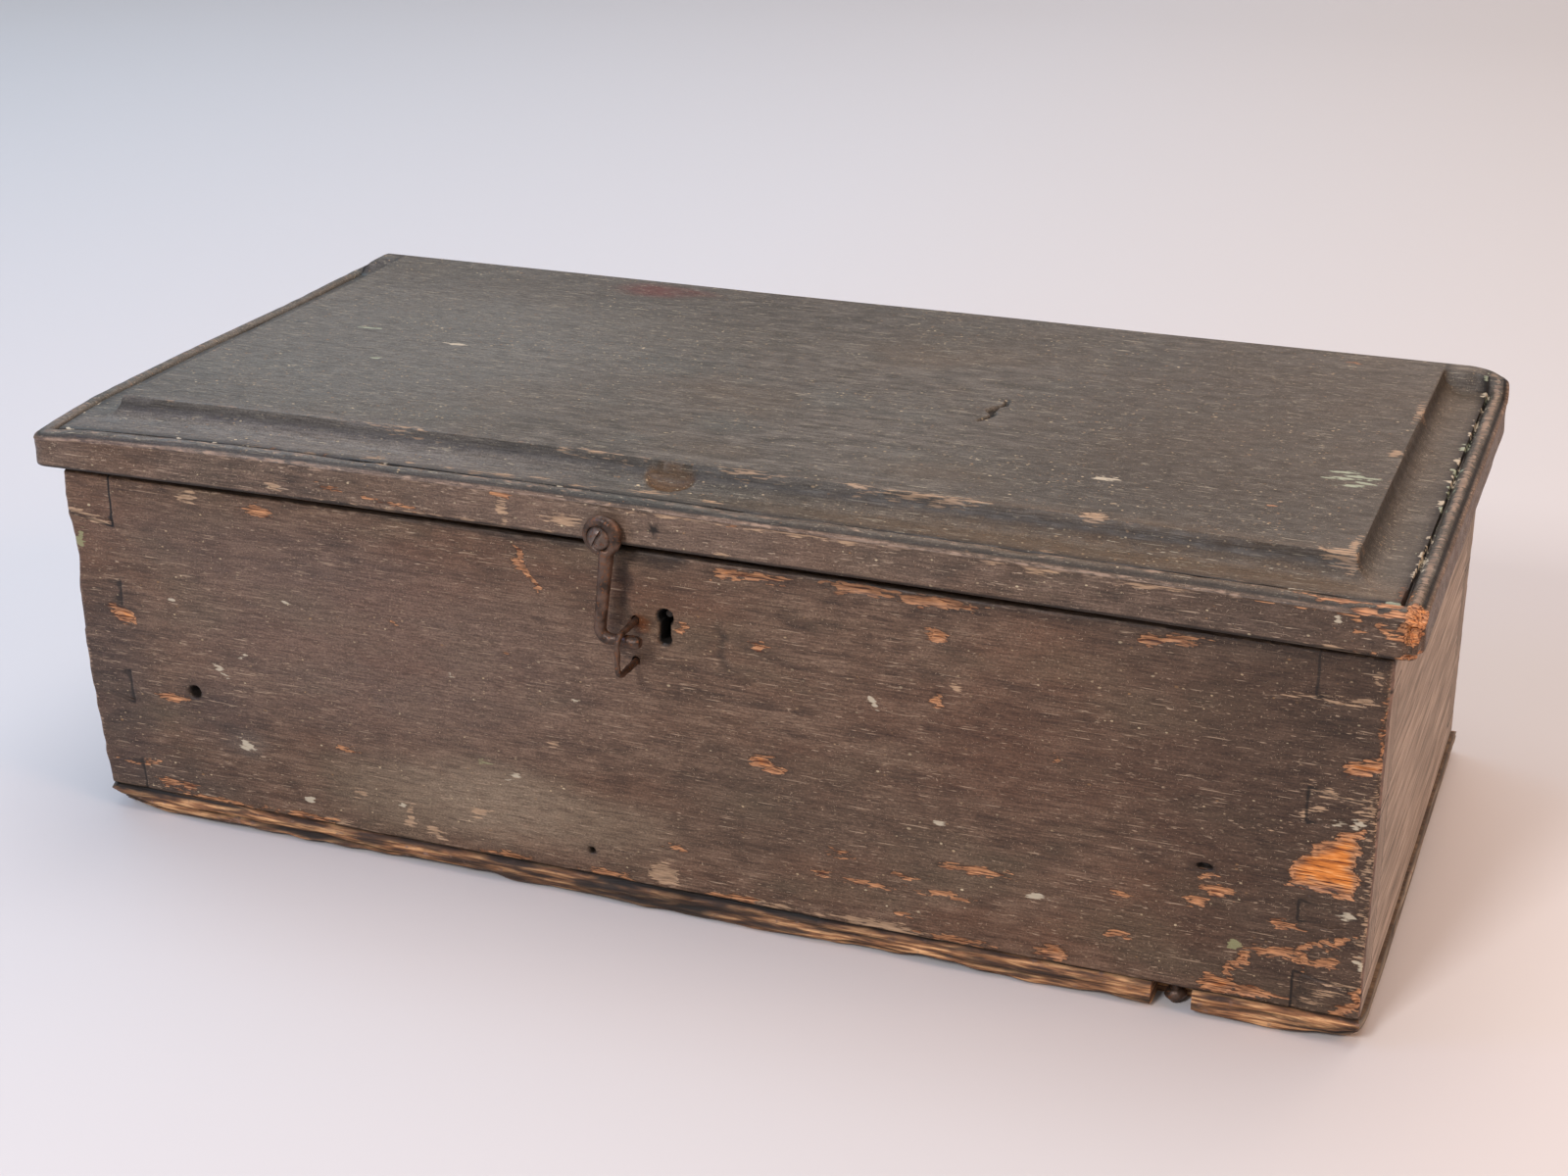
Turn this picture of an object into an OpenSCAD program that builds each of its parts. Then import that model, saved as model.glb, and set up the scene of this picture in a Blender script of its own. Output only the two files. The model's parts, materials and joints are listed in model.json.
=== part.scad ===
// Antique tool chest: a dovetailed pine box with a nailed-on bottom board, a moulded lid on two
// butt hinges, a wrought hook and staple on the front, and a box lock let into the front board.
// Origin at the centre of the underside, +X to the right seen from the front, +Y to the back, +Z up.

/* [Box] */
// Length of the box over its two end boards
box_len = 384; // [320:1:520]
// Depth of the box from its front face to its back face
box_dep = 184; // [150:1:280]
// Height of the rim above the table
rim_h = 110; // [100:1:180]
// Thickness of the front, back and end boards
board_t = 16; // [15:0.5:22]
// Thickness of the bottom board
bottom_t = 7.5; // [6:0.5:14]
// How far the bottom board stands out beyond the box on every side
bottom_over = 1; // [0:0.1:4]

/* [Dovetails] */
// Width of a full pin on the inner side of its board
pin_w = 10; // [8:0.5:14]
// Width of the half pin at the rim
top_half_pin = 15; // [10:0.5:18]
// Width of the half pin at the bottom edge
bottom_half_pin = 11; // [8:0.5:14]
// Slope of the dovetails, one part across in this many along
tail_slope = 5; // [5:0.5:9]
// Spacing of the two full pins of a corner
pin_pitch = 30; // [20:1:34]
// How far the pins of the left corners sit below the middle of the boards
left_pin_drop = 1.2; // [0:0.1:4]
// How far the pins of the right corners sit below the middle of the boards
right_pin_drop = 7; // [0:0.1:8]

/* [Bottom nails] */
// Nails along the front and along the back
nails_long = 5; // [3:1:9]
// Nails along each end
nails_short = 2; // [2:1:4]
// From an end of the box to the first nail of a long row
nail_edge = 49; // [30:1:70]
// From the front or back of the box to the first nail of an end row
nail_end_edge = 50; // [30:1:60]
// From an outer face of the box in to the line of nails
nail_inset = 6; // [5:0.5:9]
// Diameter of a nail's shank
nail_d = 2.6; // [2:0.1:4]
// Diameter of a nail's head
nail_head_d = 6; // [5:0.1:8]
// Thickness of a nail's head
nail_head_t = 1; // [0.6:0.1:1.6]
// Length of a nail
nail_len = 28; // [20:1:40]
// Width of the worn notch in front of the last nail of the front row
notch_w = 11; // [8:0.5:20]

/* [Lid] */
// Thickness of the lid at its raised field
lid_t = 18.4; // [18:0.1:26]
// Gap between the rim and the underside of the lid
lid_gap = 1; // [0.6:0.1:2]
// Overhang of the lid at the front
lid_over_front = 4.6; // [3:0.1:10]
// Overhang of the lid at each end
lid_over_end = 6.5; // [3:0.1:12]
// Height of the upright edge below the moulding
face_h = 11.7; // [9.5:0.1:12]
// From the edge of the lid in to the raised field
field_inset = 19.7; // [17:0.1:30]
// Radius of the cove below the raised field
cove_r = 6; // [4:0.1:6]
// Width of the flat fillet between the bead and the cove
quirk_w = 0.6; // [0.3:0.1:1.2]
// Width of the bead at its root
bead_w = 4.4; // [3:0.1:6]
// How far the bead stands above the upright edge
bead_rise = 1.5; // [0.8:0.1:2]
// From the edge of the lid in to the root of the bead
bead_set = 1.1; // [0.6:0.1:2]
// How far the end mouldings stop short of the back edge
moulding_stop = 8; // [4:0.5:16]
// Radius of the inner corner where an end moulding stops
stop_r = 5; // [2:0.5:8]
// How far in from its end the top of a back corner is worn down
corner_run = 12; // [8:0.5:14]
// How far down the left back corner is worn at the end of the lid
left_corner_fall = 6.5; // [0.5:0.1:6.5]
// How far down the right back corner is worn at the end of the lid
right_corner_fall = 1.5; // [0.5:0.1:6.5]
// Radius of the lid's back corners in plan
back_corner_r = 10; // [4:0.5:14]
// Radius of the lid's front corners in plan
front_corner_r = 4; // [2:0.5:8]
// Radius of the ball that would fit the thumb scoop
scoop_r = 9; // [6:0.5:12]
// Depth of the thumb scoop below the raised field
scoop_deep = 6.4; // [4:0.1:7]
// From the centre line to the thumb scoop
scoop_x = -4; // [-30:1:30]
// From the front edge of the lid in to the middle of the thumb scoop
scoop_set = 18; // [14:0.5:24]

/* [Hook] */
// From the centre line to the hook's screw
hook_x = -16; // [-30:1:-12]
// From the underside of the lid up to the hook's screw
hook_up = 4.4; // [4:0.1:6]
// Diameter of the hook's wire
hook_wire = 3.3; // [2.6:0.1:4]
// Outer diameter of the hook's eye
eye_od = 12; // [11:0.1:14]
// Lean of the shank from upright, in degrees
shank_lean = 7; // [0:0.5:9]
// Sideways offset of the shank's line from the middle of the eye
shank_off = 2.2; // [0:0.1:3]
// From the middle of the eye down to the arm
hook_drop = 29.3; // [24:0.1:36]
// Radius of the bend between shank and arm
hook_bend_r = 3; // [2:0.1:5]
// From the middle of the eye across to the tip of the arm
hook_reach = 12.7; // [12:0.1:16]
// Length of the tapered tip
hook_tip_len = 5; // [3:0.1:6]
// Diameter of the arm at its very tip
hook_tip_d = 1.8; // [1.2:0.1:2.4]
// Diameter of the hook screw under its head
hook_screw_d = 4.8; // [4:0.1:5]
// Diameter of the hook screw's round head
hook_head_d = 6.8; // [6:0.1:9]
// Height of the hook screw's round head
hook_head_h = 2.2; // [1.6:0.1:3]
// Length of the hook screw in the lid
hook_screw_len = 16; // [10:0.5:24]

/* [Staple] */
// Diameter of the staple's wire
staple_wire = 2.4; // [2:0.1:3]
// From the hook's screw across to the staple
staple_off = 6.3; // [5:0.1:8]
// Spacing of the staple's two legs
staple_span = 12; // [11:0.1:16]
// From the front board out to the staple's bar
staple_out = 12; // [11:0.1:16]
// Wood left between the ends of the legs and the lock's case
staple_back = 1; // [0.5:0.1:2]
// Radius of the staple's two bends
staple_bend_r = 3; // [2:0.1:4]

/* [Hinges] */
// From the centre line to the middle of each hinge
hinge_x = 110; // [70:1:130]
// Length of a hinge
hinge_len = 45; // [36:1:60]
// Width of a hinge leaf let into the wood
leaf_w = 12; // [9:0.5:13]
// Thickness of a hinge leaf
leaf_t = 1.5; // [1.2:0.1:2]
// Outer diameter of the knuckles
knuckle_d = 5.2; // [4.6:0.1:7]
// Diameter of the hinge pins
hinge_pin_d = 2.6; // [2:0.1:3]
// Diameter of the pins' burred ends
pin_head_d = 4; // [3.4:0.1:4.6]
// Thickness of the pins' burred ends
pin_head_t = 0.8; // [0.5:0.1:1.5]
// From the middle of a hinge to each of its screws
hinge_screw_x = 14; // [9:0.5:16]
// Length of the hinge screws
hinge_screw_len = 12; // [8:0.5:15]

/* [Small screws] */
// Diameter of the small screws' countersunk heads
screw_head_d = 4.6; // [4:0.1:5]
// Diameter of the small screws' shanks
screw_d = 2.4; // [2:0.1:2.6]
// Width of the slots in the screw heads
slot_w = 0.7; // [0.5:0.1:1]
// Depth of the slots in the screw heads
slot_deep = 0.6; // [0.4:0.1:0.8]

/* [Lock] */
// From the centre line to the keyhole
key_x = -1; // [-6:0.5:8]
// From the rim down to the round of the keyhole
key_drop = 18.7; // [18:0.1:22]
// Diameter of the keyhole's round
key_d = 4.4; // [4:0.1:6]
// Width of the keyhole's slot
key_slot_w = 2.8; // [2:0.1:3]
// Diameter of the keyhole's lower end
key_foot_d = 3.4; // [3:0.1:4]
// From the keyhole's round down to its lower end
key_len = 6.2; // [5:0.1:8]
// Diameter of the pin that the key's pipe turns on
key_pin_d = 2; // [1.6:0.1:2.4]
// Width of the lock's plate
lock_plate_w = 64; // [60:1:80]
// Height of the lock's plate
lock_plate_h = 42; // [40:1:56]
// Thickness of the lock's plate and of its top flange
lock_plate_t = 2; // [1.5:0.1:2.5]
// Width of the lock's case
lock_case_w = 44; // [42:0.5:46]
// Height of the lock's case below the top flange
lock_case_h = 34; // [32:0.5:36]
// Depth of the lock's case
lock_case_dep = 9; // [8.8:0.1:10]
// Thickness of the case's walls
lock_case_wall = 1.4; // [1:0.1:1.6]
// From the rim down to the middle of the bolt
bolt_drop = 9.5; // [9.5:0.1:10]
// Height of the bolt
bolt_h = 7; // [6.6:0.1:7]
// Length of the bolt's body
bolt_len = 19; // [18:0.5:20]
// Length of the bolt's nose
bolt_nose_len = 6.5; // [6:0.1:7]
// Travel of the bolt
bolt_throw = 8; // [7:0.1:8]
// Diameter of the stud that guides the bolt
stud_d = 2.4; // [2:0.1:2.6]
// From the keyhole across to the stud
stud_off = 7; // [6.5:0.1:7.5]
// How far the stud sits above the middle of the bolt
stud_up = 0.8; // [0.6:0.1:0.9]
// Width of the talon that the key catches
talon_w = 6; // [4:0.1:7]
// Depth of the talon
talon_deep = 1.6; // [1:0.1:1.6]
// Thickness of the lock's spring
spring_t = 0.7; // [0.5:0.1:0.8]
// Width of the lock's spring
spring_w = 4; // [3:0.1:5]
// Length of the lock's spring
spring_len = 17; // [12:0.5:18]
// Length of the lock's screws
lock_screw_len = 11; // [8:0.5:12]

/* [Lid plate] */
// Width of the plate under the lid
strike_w = 40; // [34:0.5:60]
// Depth of the plate under the lid
strike_dep = 12; // [10:0.5:14]
// Thickness of the plate under the lid
strike_t = 2; // [1.5:0.1:2.5]
// From the keyhole across to the loop under the lid
loop_off = 11; // [11:0.1:12]
// Thickness of the loop along the bolt
loop_t = 3; // [2:0.1:3]
// Width of the loop
loop_w = 5.6; // [5.4:0.1:5.6]
// Wall of the loop
loop_wall = 1.3; // [1:0.1:1.4]
// Height of the loop's eye
loop_eye_h = 6.2; // [6:0.1:6.6]
// From the middle of the plate to each of its screws
strike_screw_x = 15; // [13:0.5:16]
// Length of the plate's screws
strike_screw_len = 9; // [6:0.5:12]

/* [Fits] */
// Radial room of nails, screws, staple legs and fixed pins in their holes
drive_fit = 0.02; // [0.01:0.01:0.05]
// Room round plates let into wood
let_in = 0.1; // [0.05:0.05:0.3]
// Radial running room of the hinge pins
hinge_fit = 0.05; // [0.02:0.01:0.1]
// Room along the pin between hinge knuckles
knuckle_gap = 0.2; // [0.1:0.05:0.4]
// Room of the knuckles from the back of the box
knuckle_clear = 0.4; // [0.3:0.1:1]
// Room of the hook's eye round its screw and against the lid
eye_fit = 0.3; // [0.2:0.05:0.4]
// Room of the arm under the staple's upper leg
latch_room = 0.6; // [0.4:0.1:1]
// Room of the bolt between the case and the plate, and round its stud
bolt_room = 0.2; // [0.1:0.05:0.3]
// Room of the bolt's nose in the loop
nose_room = 0.4; // [0.3:0.05:0.5]
// Room of the loop on its way out of the lock
loop_room = 1; // [0.8:0.1:1.2]

/* [Hidden] */
$fn = 48;
// How far cutting shapes run past the faces that they cut
past = 1;
wall_h = rim_h - bottom_t;
front_y = -box_dep / 2;
back_y = box_dep / 2;
lid_z = rim_h + lid_gap;
lid_len = box_len + 2 * lid_over_end;
lid_front_y = front_y - lid_over_front;
lid_dep = box_dep + lid_over_front;
inner_y = front_y + board_t;

// Pins of a corner: heights of the full pins above the bottom edge of the boards
function pin_heights(drop) = [for (side = [-1, 1]) wall_h / 2 - drop + side * pin_pitch / 2];
pin_taper = board_t / tail_slope;

// Nails: places of all nails of the bottom board
long_pitch = (box_len - 2 * nail_edge) / (nails_long - 1);
short_pitch = (box_dep - 2 * nail_end_edge) / (nails_short - 1);
front_nails = [for (i = [0 : nails_long - 1])
    [nail_edge - box_len / 2 + i * long_pitch, front_y + nail_inset]];
back_nails = [for (p = front_nails) [p[0], -p[1]]];
right_nails = [for (i = [0 : nails_short - 1])
    [box_len / 2 - nail_inset, front_y + nail_end_edge + i * short_pitch]];
left_nails = [for (p = right_nails) [-p[0], p[1]]];
all_nails = concat(front_nails, back_nails, left_nails, right_nails);
worn_nail = front_nails[nails_long - 1];
notch_deep = bottom_over + nail_inset + nail_head_d / 2;

// How far the front's moulding cut laps over the ends' cuts at the mitres
mitre_lap = 0.02;
// Lid moulding, measured in from the edge and up from the underside
cove_floor = lid_t - cove_r;
cove_u = bead_set + bead_w + quirk_w;
bead_r = (bead_w * bead_w / 4 + bead_rise * bead_rise) / (2 * bead_rise);

// Hook: middle of the eye, and the middle of the bend in the hook's own plane
hook_r = hook_wire / 2;
eye_r = eye_od / 2 - hook_r;
hook_y = lid_front_y - eye_fit - hook_r;
hook_z = lid_z + hook_up;
bend_z = hook_bend_r - hook_drop;
bend_x = shank_off + (hook_bend_r + bend_z * sin(shank_lean)) / cos(shank_lean);
shank_side = shank_off * cos(shank_lean);
eye_meet = sqrt(eye_r * eye_r - shank_side * shank_side);
shank_len = -bend_x * sin(shank_lean) - bend_z * cos(shank_lean) - eye_meet;
hook_head_y = hook_y - hook_r - eye_fit;

// Staple: heights of its two legs
staple_r = staple_wire / 2;
staple_x = hook_x + staple_off;
staple_top_z = hook_z - hook_drop + hook_r + latch_room + staple_r;
staple_low_z = staple_top_z - staple_span;
staple_bar_y = front_y - staple_out;
staple_in = board_t - lock_plate_t - lock_case_dep - let_in - staple_back;

// Hinges: the pin's line and the knuckles along it
hinge_y = back_y + knuckle_clear + knuckle_d / 2;
hinge_z = rim_h + lid_gap / 2;
leaf_gain = leaf_t - lid_gap / 2;
knuckle_len = (hinge_len - 2 * knuckle_gap) / 3;
knuckle_pitch = knuckle_len + knuckle_gap;
hinge_screw_y = back_y - leaf_w / 2;

// Lock: heights and depths
key_z = rim_h - key_drop;
bolt_z = rim_h - bolt_drop;
plate_y = inner_y - lock_plate_t;
case_y = plate_y - lock_case_dep;
room_y = case_y + lock_case_wall;
room_dep = lock_case_dep - lock_case_wall;
flange_z = rim_h - lock_plate_t;
lock_side_x = key_x - lock_case_w / 2 + lock_case_wall;
loop_x = key_x + loop_off;
loop_y = room_y + room_dep / 2;
bolt_tip_x = loop_x - loop_t / 2 - (bolt_throw - bolt_nose_len) - nose_room;
bolt_shoulder_x = bolt_tip_x - bolt_nose_len;
stud_x = key_x - stud_off;
stud_z = bolt_z + stud_up;
lock_screw_x = (lock_plate_w + lock_case_w) / 4;
lock_screw_zs = [rim_h - lock_plate_h + screw_head_d, flange_z - screw_head_d];

// A cut-off corner of radius r, its point at the origin and its sides along +X and +Y
module corner_waste(r) {
    difference() {
        translate([-past, -past]) square(r + past);
        translate([r, r]) circle(r = r);
    }
}

// The pins of one corner, seen from the front: x runs in from the end of the board, z up from its edge
module corner_pins(drop, run = 0) {
    full_end = pin_w - 2 * pin_taper;
    for (h = pin_heights(drop))
        polygon([
            [-run, h - full_end / 2], [0, h - full_end / 2], [board_t, h - pin_w / 2],
            [board_t, h + pin_w / 2], [0, h + full_end / 2], [-run, h + full_end / 2]
        ]);
    low_end = bottom_half_pin - pin_taper;
    polygon([
        [-run, -run], [board_t, -run], [board_t, bottom_half_pin], [0, low_end], [-run, low_end]
    ]);
    high_root = wall_h - top_half_pin;
    high_end = high_root + pin_taper;
    polygon([
        [-run, wall_h + run], [board_t, wall_h + run], [board_t, high_root], [0, high_end], [-run, high_end]
    ]);
}

// The pins of one corner as wood: from the outer face at y = 0 to board_t behind it
module pin_blocks(drop, run = 0) {
    translate([0, board_t + run, 0])
        rotate([90, 0, 0])
            linear_extrude(board_t + 2 * run) corner_pins(drop, run);
}

// A long board with tails at both ends, its outer face at y = 0 and its bottom edge at z = 0
module tailed_board() {
    difference() {
        translate([-box_len / 2, 0, 0]) cube([box_len, board_t, wall_h]);
        translate([-box_len / 2, 0, 0]) pin_blocks(left_pin_drop, past);
        mirror([1, 0, 0]) translate([-box_len / 2, 0, 0]) pin_blocks(right_pin_drop, past);
    }
}

// An end board with pins front and back, its outer face at x = 0 and its inside towards +X
module pinned_board(drop) {
    translate([0, inner_y, bottom_t]) cube([board_t, box_dep - 2 * board_t, wall_h]);
    for (turn = [0, 1])
        mirror([0, turn, 0])
            translate([0, front_y, bottom_t]) pin_blocks(drop);
}

// A cut nail, head down at z = 0
module nail(room = 0) {
    cylinder(d = nail_head_d + 2 * room, h = nail_head_t);
    cylinder(d = nail_d + 2 * room, h = nail_len + room);
}

module nail_holes(places) {
    for (p = places) translate([p[0], p[1], 0]) nail(drive_fit);
}

// A countersunk screw pointing down, the top of its head at z = 0
module screw_form(len, room = 0) {
    sink = (screw_head_d - screw_d) / 2;
    rotate_extrude()
        polygon([
            [0, 0], [screw_head_d / 2 + room, 0], [screw_d / 2 + room, -sink],
            [screw_d / 2 + room, screw_d - len], [0, -len - room]
        ]);
}

module screw(len) {
    difference() {
        screw_form(len);
        translate([-screw_head_d / 2 - past, -slot_w / 2, -slot_deep])
            cube([screw_head_d + 2 * past, slot_w, slot_deep + past]);
    }
}

module keyhole() {
    circle(d = key_d);
    translate([-key_slot_w / 2, -key_len]) square([key_slot_w, key_len]);
    translate([0, -key_len]) circle(d = key_foot_d);
}

// The keyhole as a cutter that runs back from the face at y
module keyhole_cut(y, deep) {
    translate([key_x, y + deep, key_z])
        rotate([90, 0, 0])
            linear_extrude(deep) keyhole();
}

module bottom_board() {
    color("#6f4d34")
        difference() {
            translate([-box_len / 2 - bottom_over, front_y - bottom_over, 0])
                cube([box_len + 2 * bottom_over, box_dep + 2 * bottom_over, bottom_t]);
            translate([worn_nail[0] - notch_w / 2, front_y - bottom_over - past, -past])
                cube([notch_w, notch_deep + past, bottom_t + 2 * past]);
            nail_holes(all_nails);
        }
}

module front_board() {
    color("#51443c")
        difference() {
            translate([0, front_y, bottom_t]) tailed_board();
            nail_holes(front_nails);
            keyhole_cut(front_y - past, board_t);
            // Recess for the lock's plate and flange, and the mortise for its case
            translate([key_x - lock_plate_w / 2 - let_in, plate_y, rim_h - lock_plate_h - let_in])
                cube([lock_plate_w + 2 * let_in, lock_plate_t + past, lock_plate_h + let_in + past]);
            translate([key_x - lock_plate_w / 2 - let_in, case_y - let_in, flange_z])
                cube([lock_plate_w + 2 * let_in, lock_case_dep + lock_plate_t, lock_plate_t + past]);
            translate([key_x - lock_case_w / 2 - let_in, case_y - let_in, flange_z - lock_case_h - let_in])
                cube([lock_case_w + 2 * let_in, lock_case_dep + lock_plate_t, lock_case_h + lock_plate_t]);
            for (side = [-1, 1], z = lock_screw_zs)
                translate([key_x + side * lock_screw_x, inner_y, z])
                    rotate([-90, 0, 0]) screw_form(lock_screw_len, drive_fit);
            for (z = [staple_low_z, staple_top_z])
                translate([staple_x, front_y + staple_in + drive_fit, z])
                    rotate([90, 0, 0]) cylinder(d = staple_wire + 2 * drive_fit, h = staple_in + past);
        }
}

// The bed that a hinge leaf is let into, from z up through the face of the wood
module leaf_bed(side, z) {
    translate([side * hinge_x - hinge_len / 2 - let_in, back_y - leaf_w - let_in, z])
        cube([hinge_len + 2 * let_in, leaf_w + let_in + past, leaf_gain + past]);
}

module back_board() {
    color("#544840")
        difference() {
            translate([0, back_y, bottom_t]) mirror([0, 1, 0]) tailed_board();
            nail_holes(back_nails);
            for (side = [-1, 1]) {
                leaf_bed(side, rim_h - leaf_gain);
                leaf_screw_places(side)
                    screw_form(hinge_screw_len, drive_fit);
            }
        }
}

module left_end_board() {
    color("#84705f")
        difference() {
            translate([-box_len / 2, 0, 0]) pinned_board(left_pin_drop);
            nail_holes(left_nails);
        }
}

module right_end_board() {
    color("#8b7768")
        difference() {
            mirror([1, 0, 0]) translate([-box_len / 2, 0, 0]) pinned_board(right_pin_drop);
            nail_holes(right_nails);
        }
}

module bottom_nails() {
    color("#4a3128")
        for (p = all_nails) translate([p[0], p[1], 0]) nail();
}

// Wood taken off above the moulding: x in from the edge of the lid, y up from its underside
module moulding_waste() {
    difference() {
        translate([-past, face_h]) square([field_inset + past, lid_t - face_h + past]);
        translate([bead_set + bead_w / 2, face_h + bead_rise - bead_r]) circle(r = bead_r);
        difference() {
            translate([cove_u, face_h]) square([field_inset - cove_u, lid_t - face_h + past]);
            translate([field_inset - cove_r, lid_t]) circle(r = cove_r);
            translate([cove_u, cove_floor]) square([field_inset - cove_r - cove_u, cove_r + past]);
            translate([cove_u, lid_t]) square([field_inset - cove_u, past]);
        }
    }
}

// Lid seen from above, mitred so that each edge's moulding meets the next at 45 degrees
module front_mitre() {
    run = field_inset + past;
    half = lid_len / 2 + mitre_lap;
    polygon([
        [-half - past, lid_front_y - past], [half + past, lid_front_y - past],
        [half - run, lid_front_y + run], [-half + run, lid_front_y + run]
    ]);
}

module left_mitre() {
    run = field_inset + past;
    stop_y = back_y - moulding_stop;
    difference() {
        polygon([
            [-lid_len / 2 - past, lid_front_y - past], [-lid_len / 2 + run, lid_front_y + run],
            [-lid_len / 2 + run, stop_y], [-lid_len / 2 - past, stop_y]
        ]);
        translate([-lid_len / 2 + field_inset, stop_y]) rotate(180) corner_waste(stop_r);
    }
}

module front_moulding_cut() {
    intersection() {
        translate([-lid_len / 2 - past, lid_front_y, lid_z])
            rotate([90, 0, 90])
                linear_extrude(lid_len + 2 * past) moulding_waste();
        translate([0, 0, lid_z]) linear_extrude(lid_t + past) front_mitre();
    }
}

module left_moulding_cut() {
    intersection() {
        translate([-lid_len / 2, back_y + past, lid_z])
            rotate([90, 0, 0])
                linear_extrude(lid_dep + 2 * past) moulding_waste();
        translate([0, 0, lid_z]) linear_extrude(lid_t + past) left_mitre();
    }
}

// Wood worn off the top of the left back corner, behind the end of its moulding
module corner_wear(fall) {
    translate([-lid_len / 2, back_y + past, lid_z])
        rotate([90, 0, 0])
            linear_extrude(moulding_stop + 2 * past)
                polygon([
                    [corner_run, lid_t], [-past, lid_t - fall * (corner_run + past) / corner_run],
                    [-past, lid_t + past], [corner_run, lid_t + past]
                ]);
}

module lid_outline() {
    difference() {
        translate([-lid_len / 2, lid_front_y]) square([lid_len, lid_dep]);
        for (side = [0, 1])
            mirror([side, 0]) {
                translate([-lid_len / 2, lid_front_y]) corner_waste(front_corner_r);
                translate([-lid_len / 2, back_y]) mirror([0, 1]) corner_waste(back_corner_r);
            }
    }
}

module lid_board() {
    color("#5c5b53")
        difference() {
            translate([0, 0, lid_z]) linear_extrude(lid_t) lid_outline();
            front_moulding_cut();
            for (side = [0, 1]) mirror([side, 0, 0]) left_moulding_cut();
            corner_wear(left_corner_fall);
            mirror([1, 0, 0]) corner_wear(right_corner_fall);
            translate([scoop_x, lid_front_y + scoop_set, lid_z + lid_t + scoop_r - scoop_deep])
                sphere(r = scoop_r);
            for (side = [-1, 1]) {
                leaf_bed(side, lid_z - past);
                lid_screw_places(side)
                    screw_form(hinge_screw_len, drive_fit);
            }
            translate([loop_x - strike_w / 2 - let_in, loop_y - strike_dep / 2 - let_in, lid_z - past])
                cube([strike_w + 2 * let_in, strike_dep + 2 * let_in, strike_t + past]);
            strike_screw_places() screw_form(strike_screw_len, drive_fit);
            translate([hook_x, lid_front_y - past, hook_z])
                rotate([-90, 0, 0])
                    cylinder(d = hook_screw_d + 2 * drive_fit, h = hook_screw_len + drive_fit + past);
        }
}

// Places its child, a screw, in each hole of a chest leaf
module leaf_screw_places(side) {
    for (end = [-1, 1])
        translate([side * hinge_x + end * hinge_screw_x, hinge_screw_y, hinge_z]) children();
}

// Places its child, a screw, in each hole of a lid leaf
module lid_screw_places(side) {
    for (end = [-1, 1])
        translate([side * hinge_x + end * hinge_screw_x, hinge_screw_y, hinge_z])
            mirror([0, 0, 1]) children();
}

// Places its child, a screw, in each hole of the plate under the lid
module strike_screw_places() {
    for (end = [-1, 1])
        translate([loop_x + end * strike_screw_x, loop_y, lid_z]) mirror([0, 0, 1]) children();
}

// A hinge leaf below the line of the pin, with knuckles at the given places along it
module leaf(places, bore) {
    difference() {
        union() {
            translate([-hinge_len / 2, back_y - leaf_w, hinge_z - leaf_t])
                cube([hinge_len, leaf_w, leaf_t]);
            for (i = places)
                translate([i * knuckle_pitch - knuckle_len / 2, 0, 0]) {
                    translate([0, back_y, hinge_z - leaf_t])
                        cube([knuckle_len, hinge_y - back_y, leaf_t]);
                    translate([0, hinge_y, hinge_z])
                        rotate([0, 90, 0]) cylinder(d = knuckle_d, h = knuckle_len);
                }
        }
        translate([-hinge_len / 2 - past, hinge_y, hinge_z])
            rotate([0, 90, 0]) cylinder(d = bore, h = hinge_len + 2 * past);
        for (end = [-1, 1])
            translate([end * hinge_screw_x, hinge_screw_y, hinge_z])
                screw_form(hinge_screw_len, drive_fit);
    }
}

module chest_leaf(side) {
    translate([side * hinge_x, 0, 0]) leaf([-1, 1], hinge_pin_d + 2 * drive_fit);
}

module lid_leaf(side) {
    translate([side * hinge_x, 0, 2 * hinge_z])
        mirror([0, 0, 1]) leaf([0], hinge_pin_d + 2 * hinge_fit);
}

module hinge_pin(side) {
    translate([side * hinge_x - hinge_len / 2, hinge_y, hinge_z])
        rotate([0, 90, 0]) {
            cylinder(d = hinge_pin_d, h = hinge_len);
            translate([0, 0, -pin_head_t]) cylinder(d = pin_head_d, h = pin_head_t);
            translate([0, 0, hinge_len]) cylinder(d = pin_head_d, h = pin_head_t);
        }
}

module left_hinge_chest_leaf() { color("#4d3a30") chest_leaf(-1); }
module right_hinge_chest_leaf() { color("#4d3a30") chest_leaf(1); }
module left_hinge_lid_leaf() { color("#4d3a30") lid_leaf(-1); }
module right_hinge_lid_leaf() { color("#4d3a30") lid_leaf(1); }
module left_hinge_pin() { color("#5a463a") hinge_pin(-1); }
module right_hinge_pin() { color("#5a463a") hinge_pin(1); }

module hinge_chest_screws() {
    color("#5a4a40")
        for (side = [-1, 1]) leaf_screw_places(side) screw(hinge_screw_len);
}

module hinge_lid_screws() {
    color("#5a4a40")
        for (side = [-1, 1]) lid_screw_places(side) screw(hinge_screw_len);
}

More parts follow.
